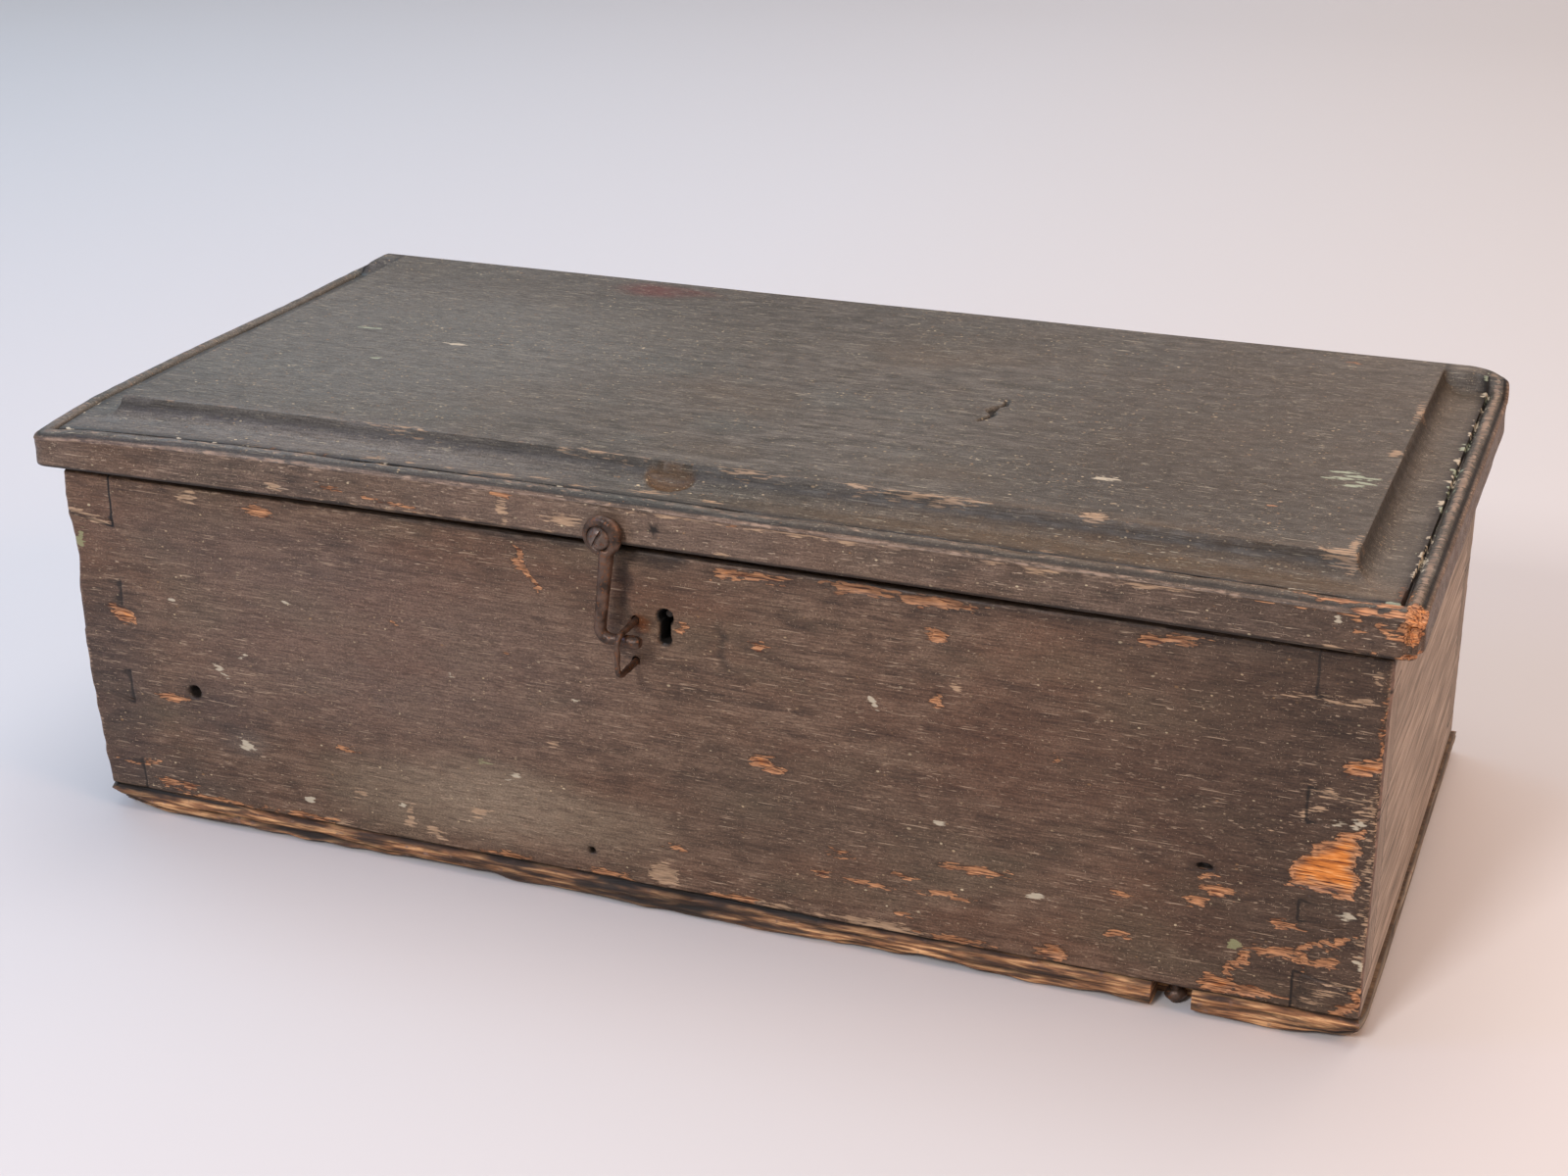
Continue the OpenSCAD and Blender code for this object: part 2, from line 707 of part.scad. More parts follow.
// Hook: an eye on the screw, a shank that leans a little, a bend, and an arm with a tapered tip
module hook() {
    arm_len = hook_reach - bend_x - hook_tip_len - hook_tip_d / 2;
    color("#5d4a40")
        translate([hook_x, hook_y, hook_z])
            rotate([90, 0, 0]) {
                rotate_extrude() translate([eye_r, 0]) circle(r = hook_r);
                translate([bend_x, bend_z, 0]) {
                    rotate([0, 0, 180 - shank_lean])
                        rotate_extrude(angle = 90 + shank_lean)
                            translate([hook_bend_r, 0]) circle(r = hook_r);
                    rotate([0, 0, -shank_lean])
                        translate([-hook_bend_r, 0, 0])
                            rotate([-90, 0, 0]) cylinder(r = hook_r, h = shank_len);
                    translate([0, -hook_bend_r, 0])
                        rotate([0, 90, 0]) {
                            cylinder(r = hook_r, h = arm_len);
                            translate([0, 0, arm_len])
                                cylinder(r1 = hook_r, d2 = hook_tip_d, h = hook_tip_len);
                            translate([0, 0, arm_len + hook_tip_len]) sphere(d = hook_tip_d);
                        }
                }
            }
}

// Round-headed screw through the hook's eye into the edge of the lid
module hook_screw() {
    ball_r = (hook_head_d * hook_head_d / 4 + hook_head_h * hook_head_h) / (2 * hook_head_h);
    color("#6b5a4e")
        translate([hook_x, hook_head_y, hook_z])
            rotate([90, 0, 0])
                difference() {
                    union() {
                        translate([0, 0, hook_head_y - lid_front_y - hook_screw_len])
                            cylinder(d = hook_screw_d, h = hook_screw_len + lid_front_y - hook_head_y);
                        intersection() {
                            cylinder(d = hook_head_d, h = hook_head_h);
                            translate([0, 0, hook_head_h - ball_r]) sphere(r = ball_r);
                        }
                    }
                    rotate([0, 0, -shank_lean])
                        translate([-slot_w / 2, -hook_head_d, hook_head_h - 2 * slot_deep])
                            cube([slot_w, 2 * hook_head_d, 2 * slot_deep + past]);
                }
}

// Wire staple with its two legs one above the other
module hook_staple() {
    leg_len = staple_in + staple_out - staple_bend_r;
    color("#5a4438")
        translate([staple_x, 0, 0]) {
            for (z = [staple_low_z, staple_top_z])
                translate([0, front_y + staple_in, z])
                    rotate([90, 0, 0]) cylinder(r = staple_r, h = leg_len);
            translate([0, staple_bar_y, staple_low_z + staple_bend_r])
                cylinder(r = staple_r, h = staple_span - 2 * staple_bend_r);
            translate([0, staple_bar_y + staple_bend_r, staple_top_z - staple_bend_r])
                rotate([0, -90, 0]) rotate([0, 0, -90])
                    rotate_extrude(angle = 90) translate([staple_bend_r, 0]) circle(r = staple_r);
            translate([0, staple_bar_y + staple_bend_r, staple_low_z + staple_bend_r])
                rotate([0, -90, 0]) rotate([0, 0, 180])
                    rotate_extrude(angle = 90) translate([staple_bend_r, 0]) circle(r = staple_r);
        }
}

// Lock plate on the inside of the front board, with the top flange in the rim and the bolt's stud
module lock_plate() {
    slot_x = loop_t + 2 * nose_room;
    slot_y = loop_w + 2 * loop_room;
    color("#54483f") {
        difference() {
            union() {
                translate([key_x - lock_plate_w / 2, plate_y, rim_h - lock_plate_h])
                    cube([lock_plate_w, lock_plate_t, lock_plate_h]);
                translate([key_x - lock_plate_w / 2, case_y, flange_z])
                    cube([lock_plate_w, lock_case_dep + lock_plate_t, lock_plate_t]);
            }
            translate([loop_x - slot_x / 2, loop_y - slot_y / 2, flange_z - past])
                cube([slot_x, slot_y, lock_plate_t + 2 * past]);
            for (side = [-1, 1], z = lock_screw_zs)
                translate([key_x + side * lock_screw_x, inner_y, z])
                    rotate([-90, 0, 0]) screw_form(lock_screw_len, drive_fit);
        }
        translate([stud_x, plate_y, stud_z])
            rotate([90, 0, 0]) cylinder(d = stud_d, h = room_dep - bolt_room);
    }
}

// Open-backed case behind the keyhole, closed by the plate and the flange
module lock_case() {
    color("#5b4f45")
        difference() {
            translate([key_x - lock_case_w / 2, case_y, flange_z - lock_case_h])
                cube([lock_case_w, lock_case_dep, lock_case_h]);
            translate([lock_side_x, room_y, flange_z - lock_case_h + lock_case_wall])
                cube([lock_case_w - 2 * lock_case_wall, lock_case_dep, lock_case_h]);
            keyhole_cut(case_y - past, lock_case_wall + 2 * past);
        }
}

// Bolt seen from the front, at rest with its nose clear of the loop
module bolt_outline() {
    translate([bolt_shoulder_x - bolt_len, bolt_z - bolt_h / 2]) square([bolt_len, bolt_h]);
}

module bolt_openings() {
    slot_r = stud_d / 2 + bolt_room;
    translate([stud_x, stud_z]) circle(r = slot_r);
    translate([stud_x - bolt_throw, stud_z]) circle(r = slot_r);
    translate([stud_x - bolt_throw, stud_z - slot_r]) square([bolt_throw, 2 * slot_r]);
    translate([key_x - bolt_throw / 2 - talon_w / 2, bolt_z - bolt_h / 2 - past])
        square([talon_w, talon_deep + past]);
}

module lock_bolt() {
    body_dep = room_dep - 2 * bolt_room;
    nose_dep = loop_w - 2 * loop_wall - 2 * nose_room;
    nose_h = loop_eye_h - 2 * nose_room;
    color("#5f554b") {
        translate([0, plate_y - bolt_room, 0])
            rotate([90, 0, 0])
                linear_extrude(body_dep)
                    difference() {
                        bolt_outline();
                        bolt_openings();
                    }
        translate([bolt_shoulder_x, loop_y - nose_dep / 2, bolt_z - nose_h / 2])
            cube([bolt_nose_len, nose_dep, nose_h]);
    }
}

// Leaf spring from the side of the case, bearing down on the top of the bolt
module lock_spring() {
    side_x = lock_side_x;
    top_z = flange_z - bolt_room;
    low_z = bolt_z + bolt_h / 2 + bolt_room;
    color("#6d675e")
        translate([0, loop_y + spring_w / 2, 0])
            rotate([90, 0, 0])
                linear_extrude(spring_w)
                    polygon([
                        [side_x, low_z + spring_t], [side_x, top_z], [side_x + spring_t, top_z],
                        [side_x + spring_len - spring_w, low_z + spring_t],
                        [side_x + spring_len, low_z + spring_t], [side_x + spring_len, low_z],
                        [side_x + spring_len - spring_w, low_z],
                        [side_x + spring_t, top_z - 2 * spring_t], [side_x + spring_t, low_z + spring_t]
                    ]);
}

module lock_key_pin() {
    color("#6d675e")
        translate([key_x, plate_y, key_z])
            rotate([90, 0, 0]) cylinder(d = key_pin_d, h = lock_case_dep + lock_case_wall);
}

module lock_screws() {
    color("#5a4a40")
        for (side = [-1, 1], z = lock_screw_zs)
            translate([key_x + side * lock_screw_x, inner_y, z])
                rotate([-90, 0, 0]) screw(lock_screw_len);
}

// Plate under the lid with the loop that the bolt goes through
module lid_strike() {
    eye_low = bolt_z - loop_eye_h / 2;
    loop_low = eye_low - loop_wall;
    color("#5b4f45")
        difference() {
            union() {
                translate([loop_x - strike_w / 2, loop_y - strike_dep / 2, lid_z])
                    cube([strike_w, strike_dep, strike_t]);
                translate([loop_x - loop_t / 2, loop_y - loop_w / 2, loop_low])
                    cube([loop_t, loop_w, lid_z + strike_t - loop_low]);
            }
            translate([loop_x - loop_t / 2 - past, loop_y - loop_w / 2 + loop_wall, eye_low])
                cube([loop_t + 2 * past, loop_w - 2 * loop_wall, loop_eye_h]);
            strike_screw_places() screw_form(strike_screw_len, drive_fit);
        }
}

module strike_screws() {
    color("#5a4a40")
        strike_screw_places() screw(strike_screw_len);
}

bottom_board();
front_board();
back_board();
left_end_board();
right_end_board();
bottom_nails();
lid_board();
left_hinge_chest_leaf();
right_hinge_chest_leaf();
left_hinge_lid_leaf();
right_hinge_lid_leaf();
left_hinge_pin();
right_hinge_pin();
hinge_chest_screws();
hinge_lid_screws();
hook();
hook_screw();
hook_staple();
lock_plate();
lock_case();
lock_bolt();
lock_spring();
lock_key_pin();
lock_screws();
lid_strike();
strike_screws();
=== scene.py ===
import json
import math

import bmesh
import bpy
import numpy as np
from mathutils import Matrix, Vector


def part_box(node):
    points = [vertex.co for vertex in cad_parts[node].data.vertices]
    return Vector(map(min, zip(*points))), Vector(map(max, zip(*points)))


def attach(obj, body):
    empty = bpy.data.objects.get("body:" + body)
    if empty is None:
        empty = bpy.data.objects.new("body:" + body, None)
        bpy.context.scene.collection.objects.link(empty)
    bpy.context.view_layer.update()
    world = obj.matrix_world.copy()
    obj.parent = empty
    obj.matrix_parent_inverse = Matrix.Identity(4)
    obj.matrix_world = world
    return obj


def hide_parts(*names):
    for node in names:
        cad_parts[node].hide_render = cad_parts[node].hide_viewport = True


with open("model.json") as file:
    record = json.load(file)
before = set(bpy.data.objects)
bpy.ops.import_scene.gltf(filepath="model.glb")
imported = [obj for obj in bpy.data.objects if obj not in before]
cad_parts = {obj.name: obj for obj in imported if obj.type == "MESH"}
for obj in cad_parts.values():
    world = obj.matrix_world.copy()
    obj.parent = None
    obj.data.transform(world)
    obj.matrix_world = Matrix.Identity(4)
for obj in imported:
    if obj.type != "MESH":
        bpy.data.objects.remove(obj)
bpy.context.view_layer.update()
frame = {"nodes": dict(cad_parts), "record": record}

# Box: front, back and two ends of pine, joined by through dovetails with the tails on the front and back.
# The front and back carry dark brown paint, chipped down to the wood, and the ends have gone bare and grey.
# The arrises are worn round by handling, and the grain stands up a little through the paint.
MM = 0.001
slot_of = {piece["node"]: piece["material_slot"] for piece in frame["record"]["subparts"]}
body_of = {node: body for body, nodes in frame["record"]["behaviour"]["bodies"].items() for node in nodes}


def corners(*names):
    """Lowest and highest corner of these CAD nodes together, in millimetres."""
    boxes = [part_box(name) for name in names]
    low = np.min([lo for lo, hi in boxes], axis=0) / MM
    high = np.max([hi for lo, hi in boxes], axis=0) / MM
    return low, high


def wander(points, size, seed=0):
    """Smooth noise from -1 to 1 at points in mm, with swells about `size` mm long on each axis."""
    cell = points / np.asarray(size, float) + 0.37 * seed
    base = np.floor(cell).astype(np.int64)
    part = cell - base
    part = part * part * (3 - 2 * part)
    total = np.zeros(len(points))
    for step in np.ndindex(2, 2, 2):
        at = base + step
        mix = at[:, 0] * 374761393 + at[:, 1] * 668265263 + at[:, 2] * 974634777 + seed * 144665
        mix = ((mix & 0xFFFFFFFF) ^ ((mix & 0xFFFFFFFF) >> 13)) * 1274126177 & 0xFFFFFFFF
        mix = mix ^ (mix >> 16)
        total += np.prod(np.where(step, part, 1 - part), axis=1) * (mix / 0x7FFFFFFF - 1)
    return total


def ease(value, low, high):
    """0 below low, 1 above high, and a smooth step between."""
    t = np.clip((value - low) / (high - low), 0, 1)
    return t * t * (3 - 2 * t)


# Wear is told in mm inside a mark's outline, and no further out than this
FAR = 6.0


def marked(u, v, marks):
    """How far inside the nearest mark each point is, in mm: (u, v, half length, half height, slope) each."""
    depth = np.full(len(u), -FAR)
    for mark_u, mark_v, half_u, half_v, slope in marks:
        du = u - mark_u
        dv = v - mark_v - slope * du
        inside = (1 - np.hypot(du / half_u, dv / half_v)) * min(half_u, half_v)
        depth = np.maximum(depth, np.clip(inside, -FAR, None))
    return depth


def outlined(u, v, outline):
    """How far inside an outline of straight runs each point is, in mm; negative outside."""
    away = np.full(len(u), FAR)
    crossings = np.zeros(len(u), int)
    for (au, av), (bu, bv) in zip(outline, outline[1:] + outline[:1]):
        t = np.clip(((u - au) * (bu - au) + (v - av) * (bv - av)) / ((bu - au) ** 2 + (bv - av) ** 2), 0, 1)
        away = np.minimum(away, np.hypot(u - au - t * (bu - au), v - av - t * (bv - av)))
        if av != bv:
            spans = (av > v) != (bv > v)
            crossings += spans & (u < au + (v - av) * (bu - au) / (bv - av))
    return np.where(crossings % 2, away, -away)


def stained_and_shaded(u, v, stains_and_shading):
    """Colour of soft stains and of painted light and shade, and how much shows as its alpha: a mark's five
    numbers, a colour and a share.
    """
    tint = np.zeros((len(u), 4))
    for mark_u, mark_v, half_u, half_v, slope, code, share in stains_and_shading:
        du = u - mark_u
        off = np.hypot(du / half_u, (v - mark_v - slope * du) / half_v)
        part = share * ease(-off, -1.7, -0.4)[:, None]
        tint = tint * (1 - part) + np.array(linear(code)) * part
    return (tint / np.maximum(tint[:, 3:], 1e-6) ** [1, 1, 1, 0]).astype(np.float32)


def spaced(low, high, step, *extra):
    """Places for cuts about `step` apart between low and high, with closer ones where they are asked for."""
    even = np.linspace(low, high, round((high - low) / step) + 1)[1:-1]
    places = np.unique(np.concatenate([even, *extra]))
    places = places[(places > low + 0.1) & (places < high - 0.1)]
    return places[np.insert(np.diff(places) > 0.14, 0, True)]


def in_mm(name):
    """Copy of a CAD node in mm, its loose triangles merged into flat faces."""
    shape = bmesh.new()
    shape.from_mesh(frame["nodes"][name].data)
    bmesh.ops.scale(shape, vec=(1 / MM,) * 3, verts=shape.verts)
    bmesh.ops.remove_doubles(shape, verts=shape.verts, dist=0.001)
    bmesh.ops.dissolve_limit(shape, angle_limit=math.radians(1), verts=shape.verts, edges=shape.edges)
    return shape


def cut(shape, places, faces):
    """Cuts a shape on planes across each axis, each time through the faces that `faces` gives."""
    for axis, values in places.items():
        normal = Vector([1 if i == axis else 0 for i in range(3)])
        for value in values:
            geometry = faces() + shape.edges[:] + shape.verts[:]
            bmesh.ops.bisect_plane(shape, geom=geometry, plane_co=normal * float(value), plane_no=normal,
                                   dist=0.0005)


def sliced(name, through, fine, skin):
    """Copy of a box board in mm, cut through on some planes, and more finely within `skin` of the outside."""
    shape = in_mm(name)
    cut(shape, through, lambda: shape.faces[:])
    for face in shape.faces:
        off = np.abs(np.array(face.calc_center_median()) - box_mid)
        face.material_index = int((box_half - off)[:2].min() < skin)
    cut(shape, fine, lambda: [face for face in shape.faces if face.material_index])
    return shape


def as_mesh(shape, name):
    """A mesh of a worked shape."""
    mesh = bpy.data.meshes.new(name)
    shape.to_mesh(mesh)
    shape.free()
    return mesh


def put(name, data):
    """A new object in the scene."""
    thing = bpy.data.objects.new(name, data)
    bpy.context.scene.collection.objects.link(thing)
    return thing


def stand_in(mesh, *nodes):
    """A piece that takes the place of CAD nodes of one body and slot."""
    piece = put("worn_" + nodes[0], mesh)
    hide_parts(*nodes)
    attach(piece, body_of[nodes[0]])
    return piece


def dressed(mesh, points, fields, materials, skins):
    """Sets a mesh's points, in mm, its wear attributes, and each face's material."""
    mesh.vertices.foreach_set("co", (points * MM).ravel())
    for name, values in fields.items():
        if values.ndim == 2:
            mesh.attributes.new(name, "FLOAT_COLOR", "POINT").data.foreach_set("color", values.ravel())
        else:
            mesh.attributes.new(name, "FLOAT", "POINT").data.foreach_set("value", values.astype(np.float32))
    for material in materials:
        mesh.materials.append(material)
    mesh.polygons.foreach_set("material_index", skins.astype(np.int32))
    mesh.polygons.foreach_set("use_smooth", np.ones(len(mesh.polygons), bool))
    mesh.set_sharp_from_angle(angle=math.radians(38))
    mesh.update()


box_low, box_high = corners("front_board", "back_board", "left_end_board", "right_end_board")
box_mid = (box_low + box_high) / 2
box_half = (box_high - box_low) / 2


def linear(code):
    """An sRGB hex colour as linear RGBA."""
    parts = [int(code[i : i + 2], 16) / 255 for i in (1, 3, 5)]
    return [c / 12.92 if c <= 0.04045 else ((c + 0.055) / 1.055) ** 2.4 for c in parts] + [1.0]


def add(tree, kind, inputs=(), stops=(), **settings):
    """One node with its settings; each input is a value, a colour code or another node's socket."""
    node = tree.nodes.new(kind)
    for name, value in settings.items():
        setattr(node, name, value)
    for key, value in dict(inputs).items():
        if isinstance(value, bpy.types.NodeSocket):
            tree.links.new(value, node.inputs[key])
        else:
            node.inputs[key].default_value = linear(value) if isinstance(value, str) else value
    for i, (place, code) in enumerate(stops):
        mark = node.color_ramp.elements[i] if i < 2 else node.color_ramp.elements.new(place)
        mark.position = place
        mark.color = linear(code)
    return node


def blank_material(name):
    """A new material, its empty tree, and Object coordinates in that."""
    material = bpy.data.materials.new(name)
    material.use_nodes = True
    tree = material.node_tree
    tree.nodes.clear()
    return material, tree, add(tree, "ShaderNodeTexCoord").outputs["Object"]


def fibres(tree, where, size, detail=4.0, seed=0.0, turn=0.0):
    """Noise with features of about `size` mm along x, y and z, turned by an angle in the faces."""
    at = add(tree, "ShaderNodeMapping", {
        "Vector": where, "Location": (0.01 * seed,) * 3, "Rotation": (0, turn, turn),
        "Scale": [s * MM for s in size],
    }, vector_type="TEXTURE").outputs[0]
    return add(tree, "ShaderNodeTexNoise", {"Vector": at, "Scale": 1.0, "Detail": detail}).outputs[0]


def worn_field(tree, name, ragged, amount):
    """A wear attribute in mm with its outline torn along the fibres."""
    field = add(tree, "ShaderNodeAttribute", attribute_name=name).outputs["Fac"]
    torn = {0: ragged, 1: amount, 2: -amount / 2}
    torn = add(tree, "ShaderNodeMath", torn, operation="MULTIPLY_ADD").outputs[0]
    return add(tree, "ShaderNodeMath", {0: field, 1: torn}, operation="ADD").outputs[0]


def grime_and_shade(tree, most, joint, ragged, torn, wide, narrow, share):
    """Dirt and painted shade where their attribute puts them, and dirt along an open joint, from `wide` to
    `narrow` mm off its line.
    """
    dirt_and_shade = add(tree, "ShaderNodeAttribute", attribute_name="dirt_and_shade").outputs["Fac"]
    dirt_and_shade = add(tree, "ShaderNodeMapRange", {0: dirt_and_shade, 1: 0.02, 2: 1.0, 4: most}).outputs[0]
    seam = worn_field(tree, joint, ragged, torn)
    seam = add(tree, "ShaderNodeMath", {0: seam}, operation="ABSOLUTE").outputs[0]
    seam = add(tree, "ShaderNodeMapRange", {0: seam, 1: wide, 2: narrow, 4: share}).outputs[0]
    gaping = add(tree, "ShaderNodeAttribute", attribute_name="open_" + joint).outputs["Fac"]
    seam = add(tree, "ShaderNodeMath", {0: seam, 1: gaping}, operation="MULTIPLY").outputs[0]
    return add(tree, "ShaderNodeMath", {0: dirt_and_shade, 1: seam}, operation="MAXIMUM").outputs[0]


def old_paint(name, dark, mid, pale, warm, cool, worn, green_spot, flecked):
    """Brushed paint on pine: a thin satin film over the grain, scratched, chipped, rubbed on the arrises."""
    material, tree, where = blank_material(name)
    grain, fine, speck, mottle, shred, broad, other, cloud, hair = [
        fibres(tree, where, size, detail, seed)
        for size, detail, seed in (
            ((30, 2.6, 2.0), 5, 0), ((5, 0.6, 0.5), 3, 5), ((0.7, 0.45, 0.4), 2, 71), ((6, 3.4, 2.6), 7, 13),
            ((3.4, 1.1, 0.8), 6, 29), ((55, 40, 26), 4, 11), ((38, 30, 16), 5, 23), ((9, 5, 4), 2, 19),
            ((12, 0.55, 0.45), 2, 21),
        )
    ]

    # Film: soft streaks and blotches, warmer and cooler areas, stains of their own colour with painted light
    # and shade among them, brushed fibres
    streak = grain
    for share, noise in ((0.55, cloud), (0.36, hair)):
        streak = add(tree, "ShaderNodeMix", {0: share, 2: streak, 3: noise}).outputs[0]
    colour = add(tree, "ShaderNodeValToRGB", {0: streak}, [(0.39, dark), (0.61, pale), (0.5, mid)]).outputs[0]
    for patch, low, high, share, tint in ((broad, 0.48, 0.66, 0.55, warm), (other, 0.5, 0.68, 0.5, cool)):
        part = add(tree, "ShaderNodeMapRange", {0: patch, 1: low, 2: high, 4: share}).outputs[0]
        colour = add(tree, "ShaderNodeMix", {0: part, 6: colour, 7: tint}, data_type="RGBA").outputs[2]
    blotch_tint = add(tree, "ShaderNodeAttribute", attribute_name="blotch_tint").outputs
    cover = add(tree, "ShaderNodeMath", {0: mottle, 1: 0.5}, operation="ADD").outputs[0]
    cover = add(tree, "ShaderNodeMath", {0: cover, 1: blotch_tint["Alpha"]}, operation="MULTIPLY").outputs[0]
    colour = add(tree, "ShaderNodeMix", {0: cover, 6: colour, 7: blotch_tint["Color"]}, data_type="RGBA").outputs[2]
    for noise, low, shade, high, light in ((fine, 0.32, "#c8c4c2", 0.6, "#f6f4f3"),
                                           (speck, 0.32, "#bcb8b5", 0.64, "#ebeae8")):
        brushed = add(tree, "ShaderNodeValToRGB", {0: noise}, [(low, shade), (high, light)]).outputs[0]
        colour = add(tree, "ShaderNodeMix", {0: 1.0, 6: colour, 7: brushed}, data_type="RGBA",
                     blend_type="MULTIPLY").outputs[2]
    for size, seed, low, share in (((16, 0.7, 0.5), 47, 0.34, 0.6), ((3, 2, 1.4), 53, 0.27, 0.5)):
        check = fibres(tree, where, size, 3, seed)
        check = add(tree, "ShaderNodeMapRange", {0: check, 1: low, 2: low - 0.06, 4: share}).outputs[0]
        colour = add(tree, "ShaderNodeMix", {0: check, 6: colour, 7: "#271e19"}, data_type="RGBA").outputs[2]

    # Flecks 0.4 to 1 mm across, in cells of a few mm, and fine scratches at several angles
    crowded = add(tree, "ShaderNodeMapRange", {0: other, 1: 0.44, 2: 0.6, 3: 0.4, 4: 1.0}).outputs[0]
    for size, near in (((3.0303, 2, 2), -0.1), ((1.7857, 1.2195, 1.2195), -0.03)):
        cell_at = add(tree, "ShaderNodeMapping", {"Vector": where, "Scale": [s * MM for s in size]},
                      vector_type="TEXTURE").outputs[0]
        cell = add(tree, "ShaderNodeTexVoronoi", {"Vector": cell_at, "Scale": 1.0}).outputs
        chance, tone = add(tree, "ShaderNodeSeparateColor", {0: cell["Color"]}).outputs[:2]
        some = add(tree, "ShaderNodeMapRange", {0: chance, 1: 1 - flecked, 2: 0.99, 4: crowded}).outputs[0]
        apart = {0: shred, 1: -0.5, 2: cell["Distance"]}
        apart = add(tree, "ShaderNodeMath", apart, operation="MULTIPLY_ADD").outputs[0]
        dot = add(tree, "ShaderNodeMapRange", {0: apart, 1: near, 2: near - 0.07}).outputs[0]
        dot = add(tree, "ShaderNodeMath", {0: dot, 1: some}, operation="MULTIPLY").outputs[0]
        fleck = add(tree, "ShaderNodeValToRGB", {0: tone}, [(0.2, "#8f6c48"), (0.95, "#d2c09c")]).outputs[0]
        colour = add(tree, "ShaderNodeMix", {0: dot, 6: colour, 7: fleck}, data_type="RGBA").outputs[2]
    for size, seed, low, turn in (((10, 0.5, 0.4), 31, 0.67, 0.0), ((3, 0.6, 0.45), 37, 0.67, 0.0),
                                  ((9, 0.35, 0.35), 61, 0.69, 0.7), ((8, 0.35, 0.35), 67, 0.69, -1.0)):
        scratch = fibres(tree, where, size, 2, seed, turn)
        scratch = add(tree, "ShaderNodeMapRange", {0: scratch, 1: low, 2: low + 0.05, 4: 0.75}).outputs[0]
        colour = add(tree, "ShaderNodeMix", {0: scratch, 6: colour, 7: worn}, data_type="RGBA").outputs[2]

    # Rubbed arrises with a painted highlight among them, chips down to old and to new wood, grime and painted
    # shade with open joints, and flecks of other paint
    rub_and_highlight = add(tree, "ShaderNodeAttribute", attribute_name="rub_and_highlight").outputs["Fac"]
    rub_and_highlight = add(tree, "ShaderNodeMath", {0: shred, 1: 2.6, 2: rub_and_highlight}, operation="MULTIPLY_ADD").outputs[0]
    old, fresh, light, green = [
        worn_field(tree, field, noise, torn)
        for field, noise, torn in (("old_wood", fine, 6), ("fresh_wood", shred, 5), ("pale_fleck", shred, 4),
                                   ("green_fleck", shred, 4))
    ]
    rub_and_highlight_in, old_in, fresh_rim, fresh_in, light_in, green_in, deep = [
        add(tree, "ShaderNodeMapRange", {0: field, 1: low, 2: high, 4: share}).outputs[0]
        for field, low, high, share in (
            (rub_and_highlight, 1.85, 2.15, 0.65), (old, -0.1, 0.25, 0.75), (fresh, -0.5, 0.0, 0.6),
            (fresh, 0.0, 0.22, 1.0), (light, -0.1, 0.25, 0.85), (green, -0.1, 0.25, 0.8),
            (fresh, 1.4, 3.4, 1.0),
        )
    ]
    rubbed_and_lit, tan, brown, orange, pores = [
        add(tree, "ShaderNodeValToRGB", {0: noise}, tones).outputs[0]
        for noise, tones in (
            (mottle, [(0.35, "#75604f"), (0.65, "#ab917b")]),
            (fine, [(0.32, "#75604b"), (0.66, "#c09f7e")]),
            (fine, [(0.32, "#69452e"), (0.66, "#cd9366")]),
            (fine, [(0.3, "#824a20"), (0.7, "#f2b272"), (0.4, "#c4722c"), (0.54, "#e08a3e")]),
            (hair, [(0.36, "#7d6048"), (0.47, "#ffffff")]),
        )
    ]
    new_wood = add(tree, "ShaderNodeMix", {0: deep, 6: brown, 7: orange}, data_type="RGBA").outputs[2]
    new_wood = add(tree, "ShaderNodeMix", {0: 1.0, 6: new_wood, 7: pores}, data_type="RGBA",
                   blend_type="MULTIPLY").outputs[2]
    dirt_and_shade = grime_and_shade(tree, 0.95, "seam", mottle, 0.6, 0.55, 0.2, 1.0)
    for part, shade in ((rub_and_highlight_in, rubbed_and_lit), (old_in, tan), (fresh_rim, "#332318"), (fresh_in, new_wood),
                        (dirt_and_shade, "#120e0b"), (light_in, "#c0b49c"), (green_in, green_spot)):
        colour = add(tree, "ShaderNodeMix", {0: part, 6: colour, 7: shade}, data_type="RGBA").outputs[2]

    # Relief of the grain and the broken edge of the film
    height = add(tree, "ShaderNodeMath", {0: grain, 1: 1.4, 2: fine}, operation="MULTIPLY_ADD").outputs[0]
    for part, drop in ((fresh_in, -1.0), (old_in, -0.5)):
        sunk = {0: part, 1: drop, 2: height}
        height = add(tree, "ShaderNodeMath", sunk, operation="MULTIPLY_ADD").outputs[0]
    relief = {"Strength": 0.4, "Distance": 0.25 * MM, "Height": height}
    relief = add(tree, "ShaderNodeBump", relief).outputs[0]
    rough = add(tree, "ShaderNodeMapRange", {0: mottle, 1: 0.3, 2: 0.7, 3: 0.42, 4: 0.6}).outputs[0]
    shader = add(tree, "ShaderNodeBsdfPrincipled", {
        "Base Color": colour, "Roughness": rough, "Normal": relief, "Specular IOR Level": 0.35,
    })
    add(tree, "ShaderNodeOutputMaterial", {0: shader.outputs[0]})
    return material


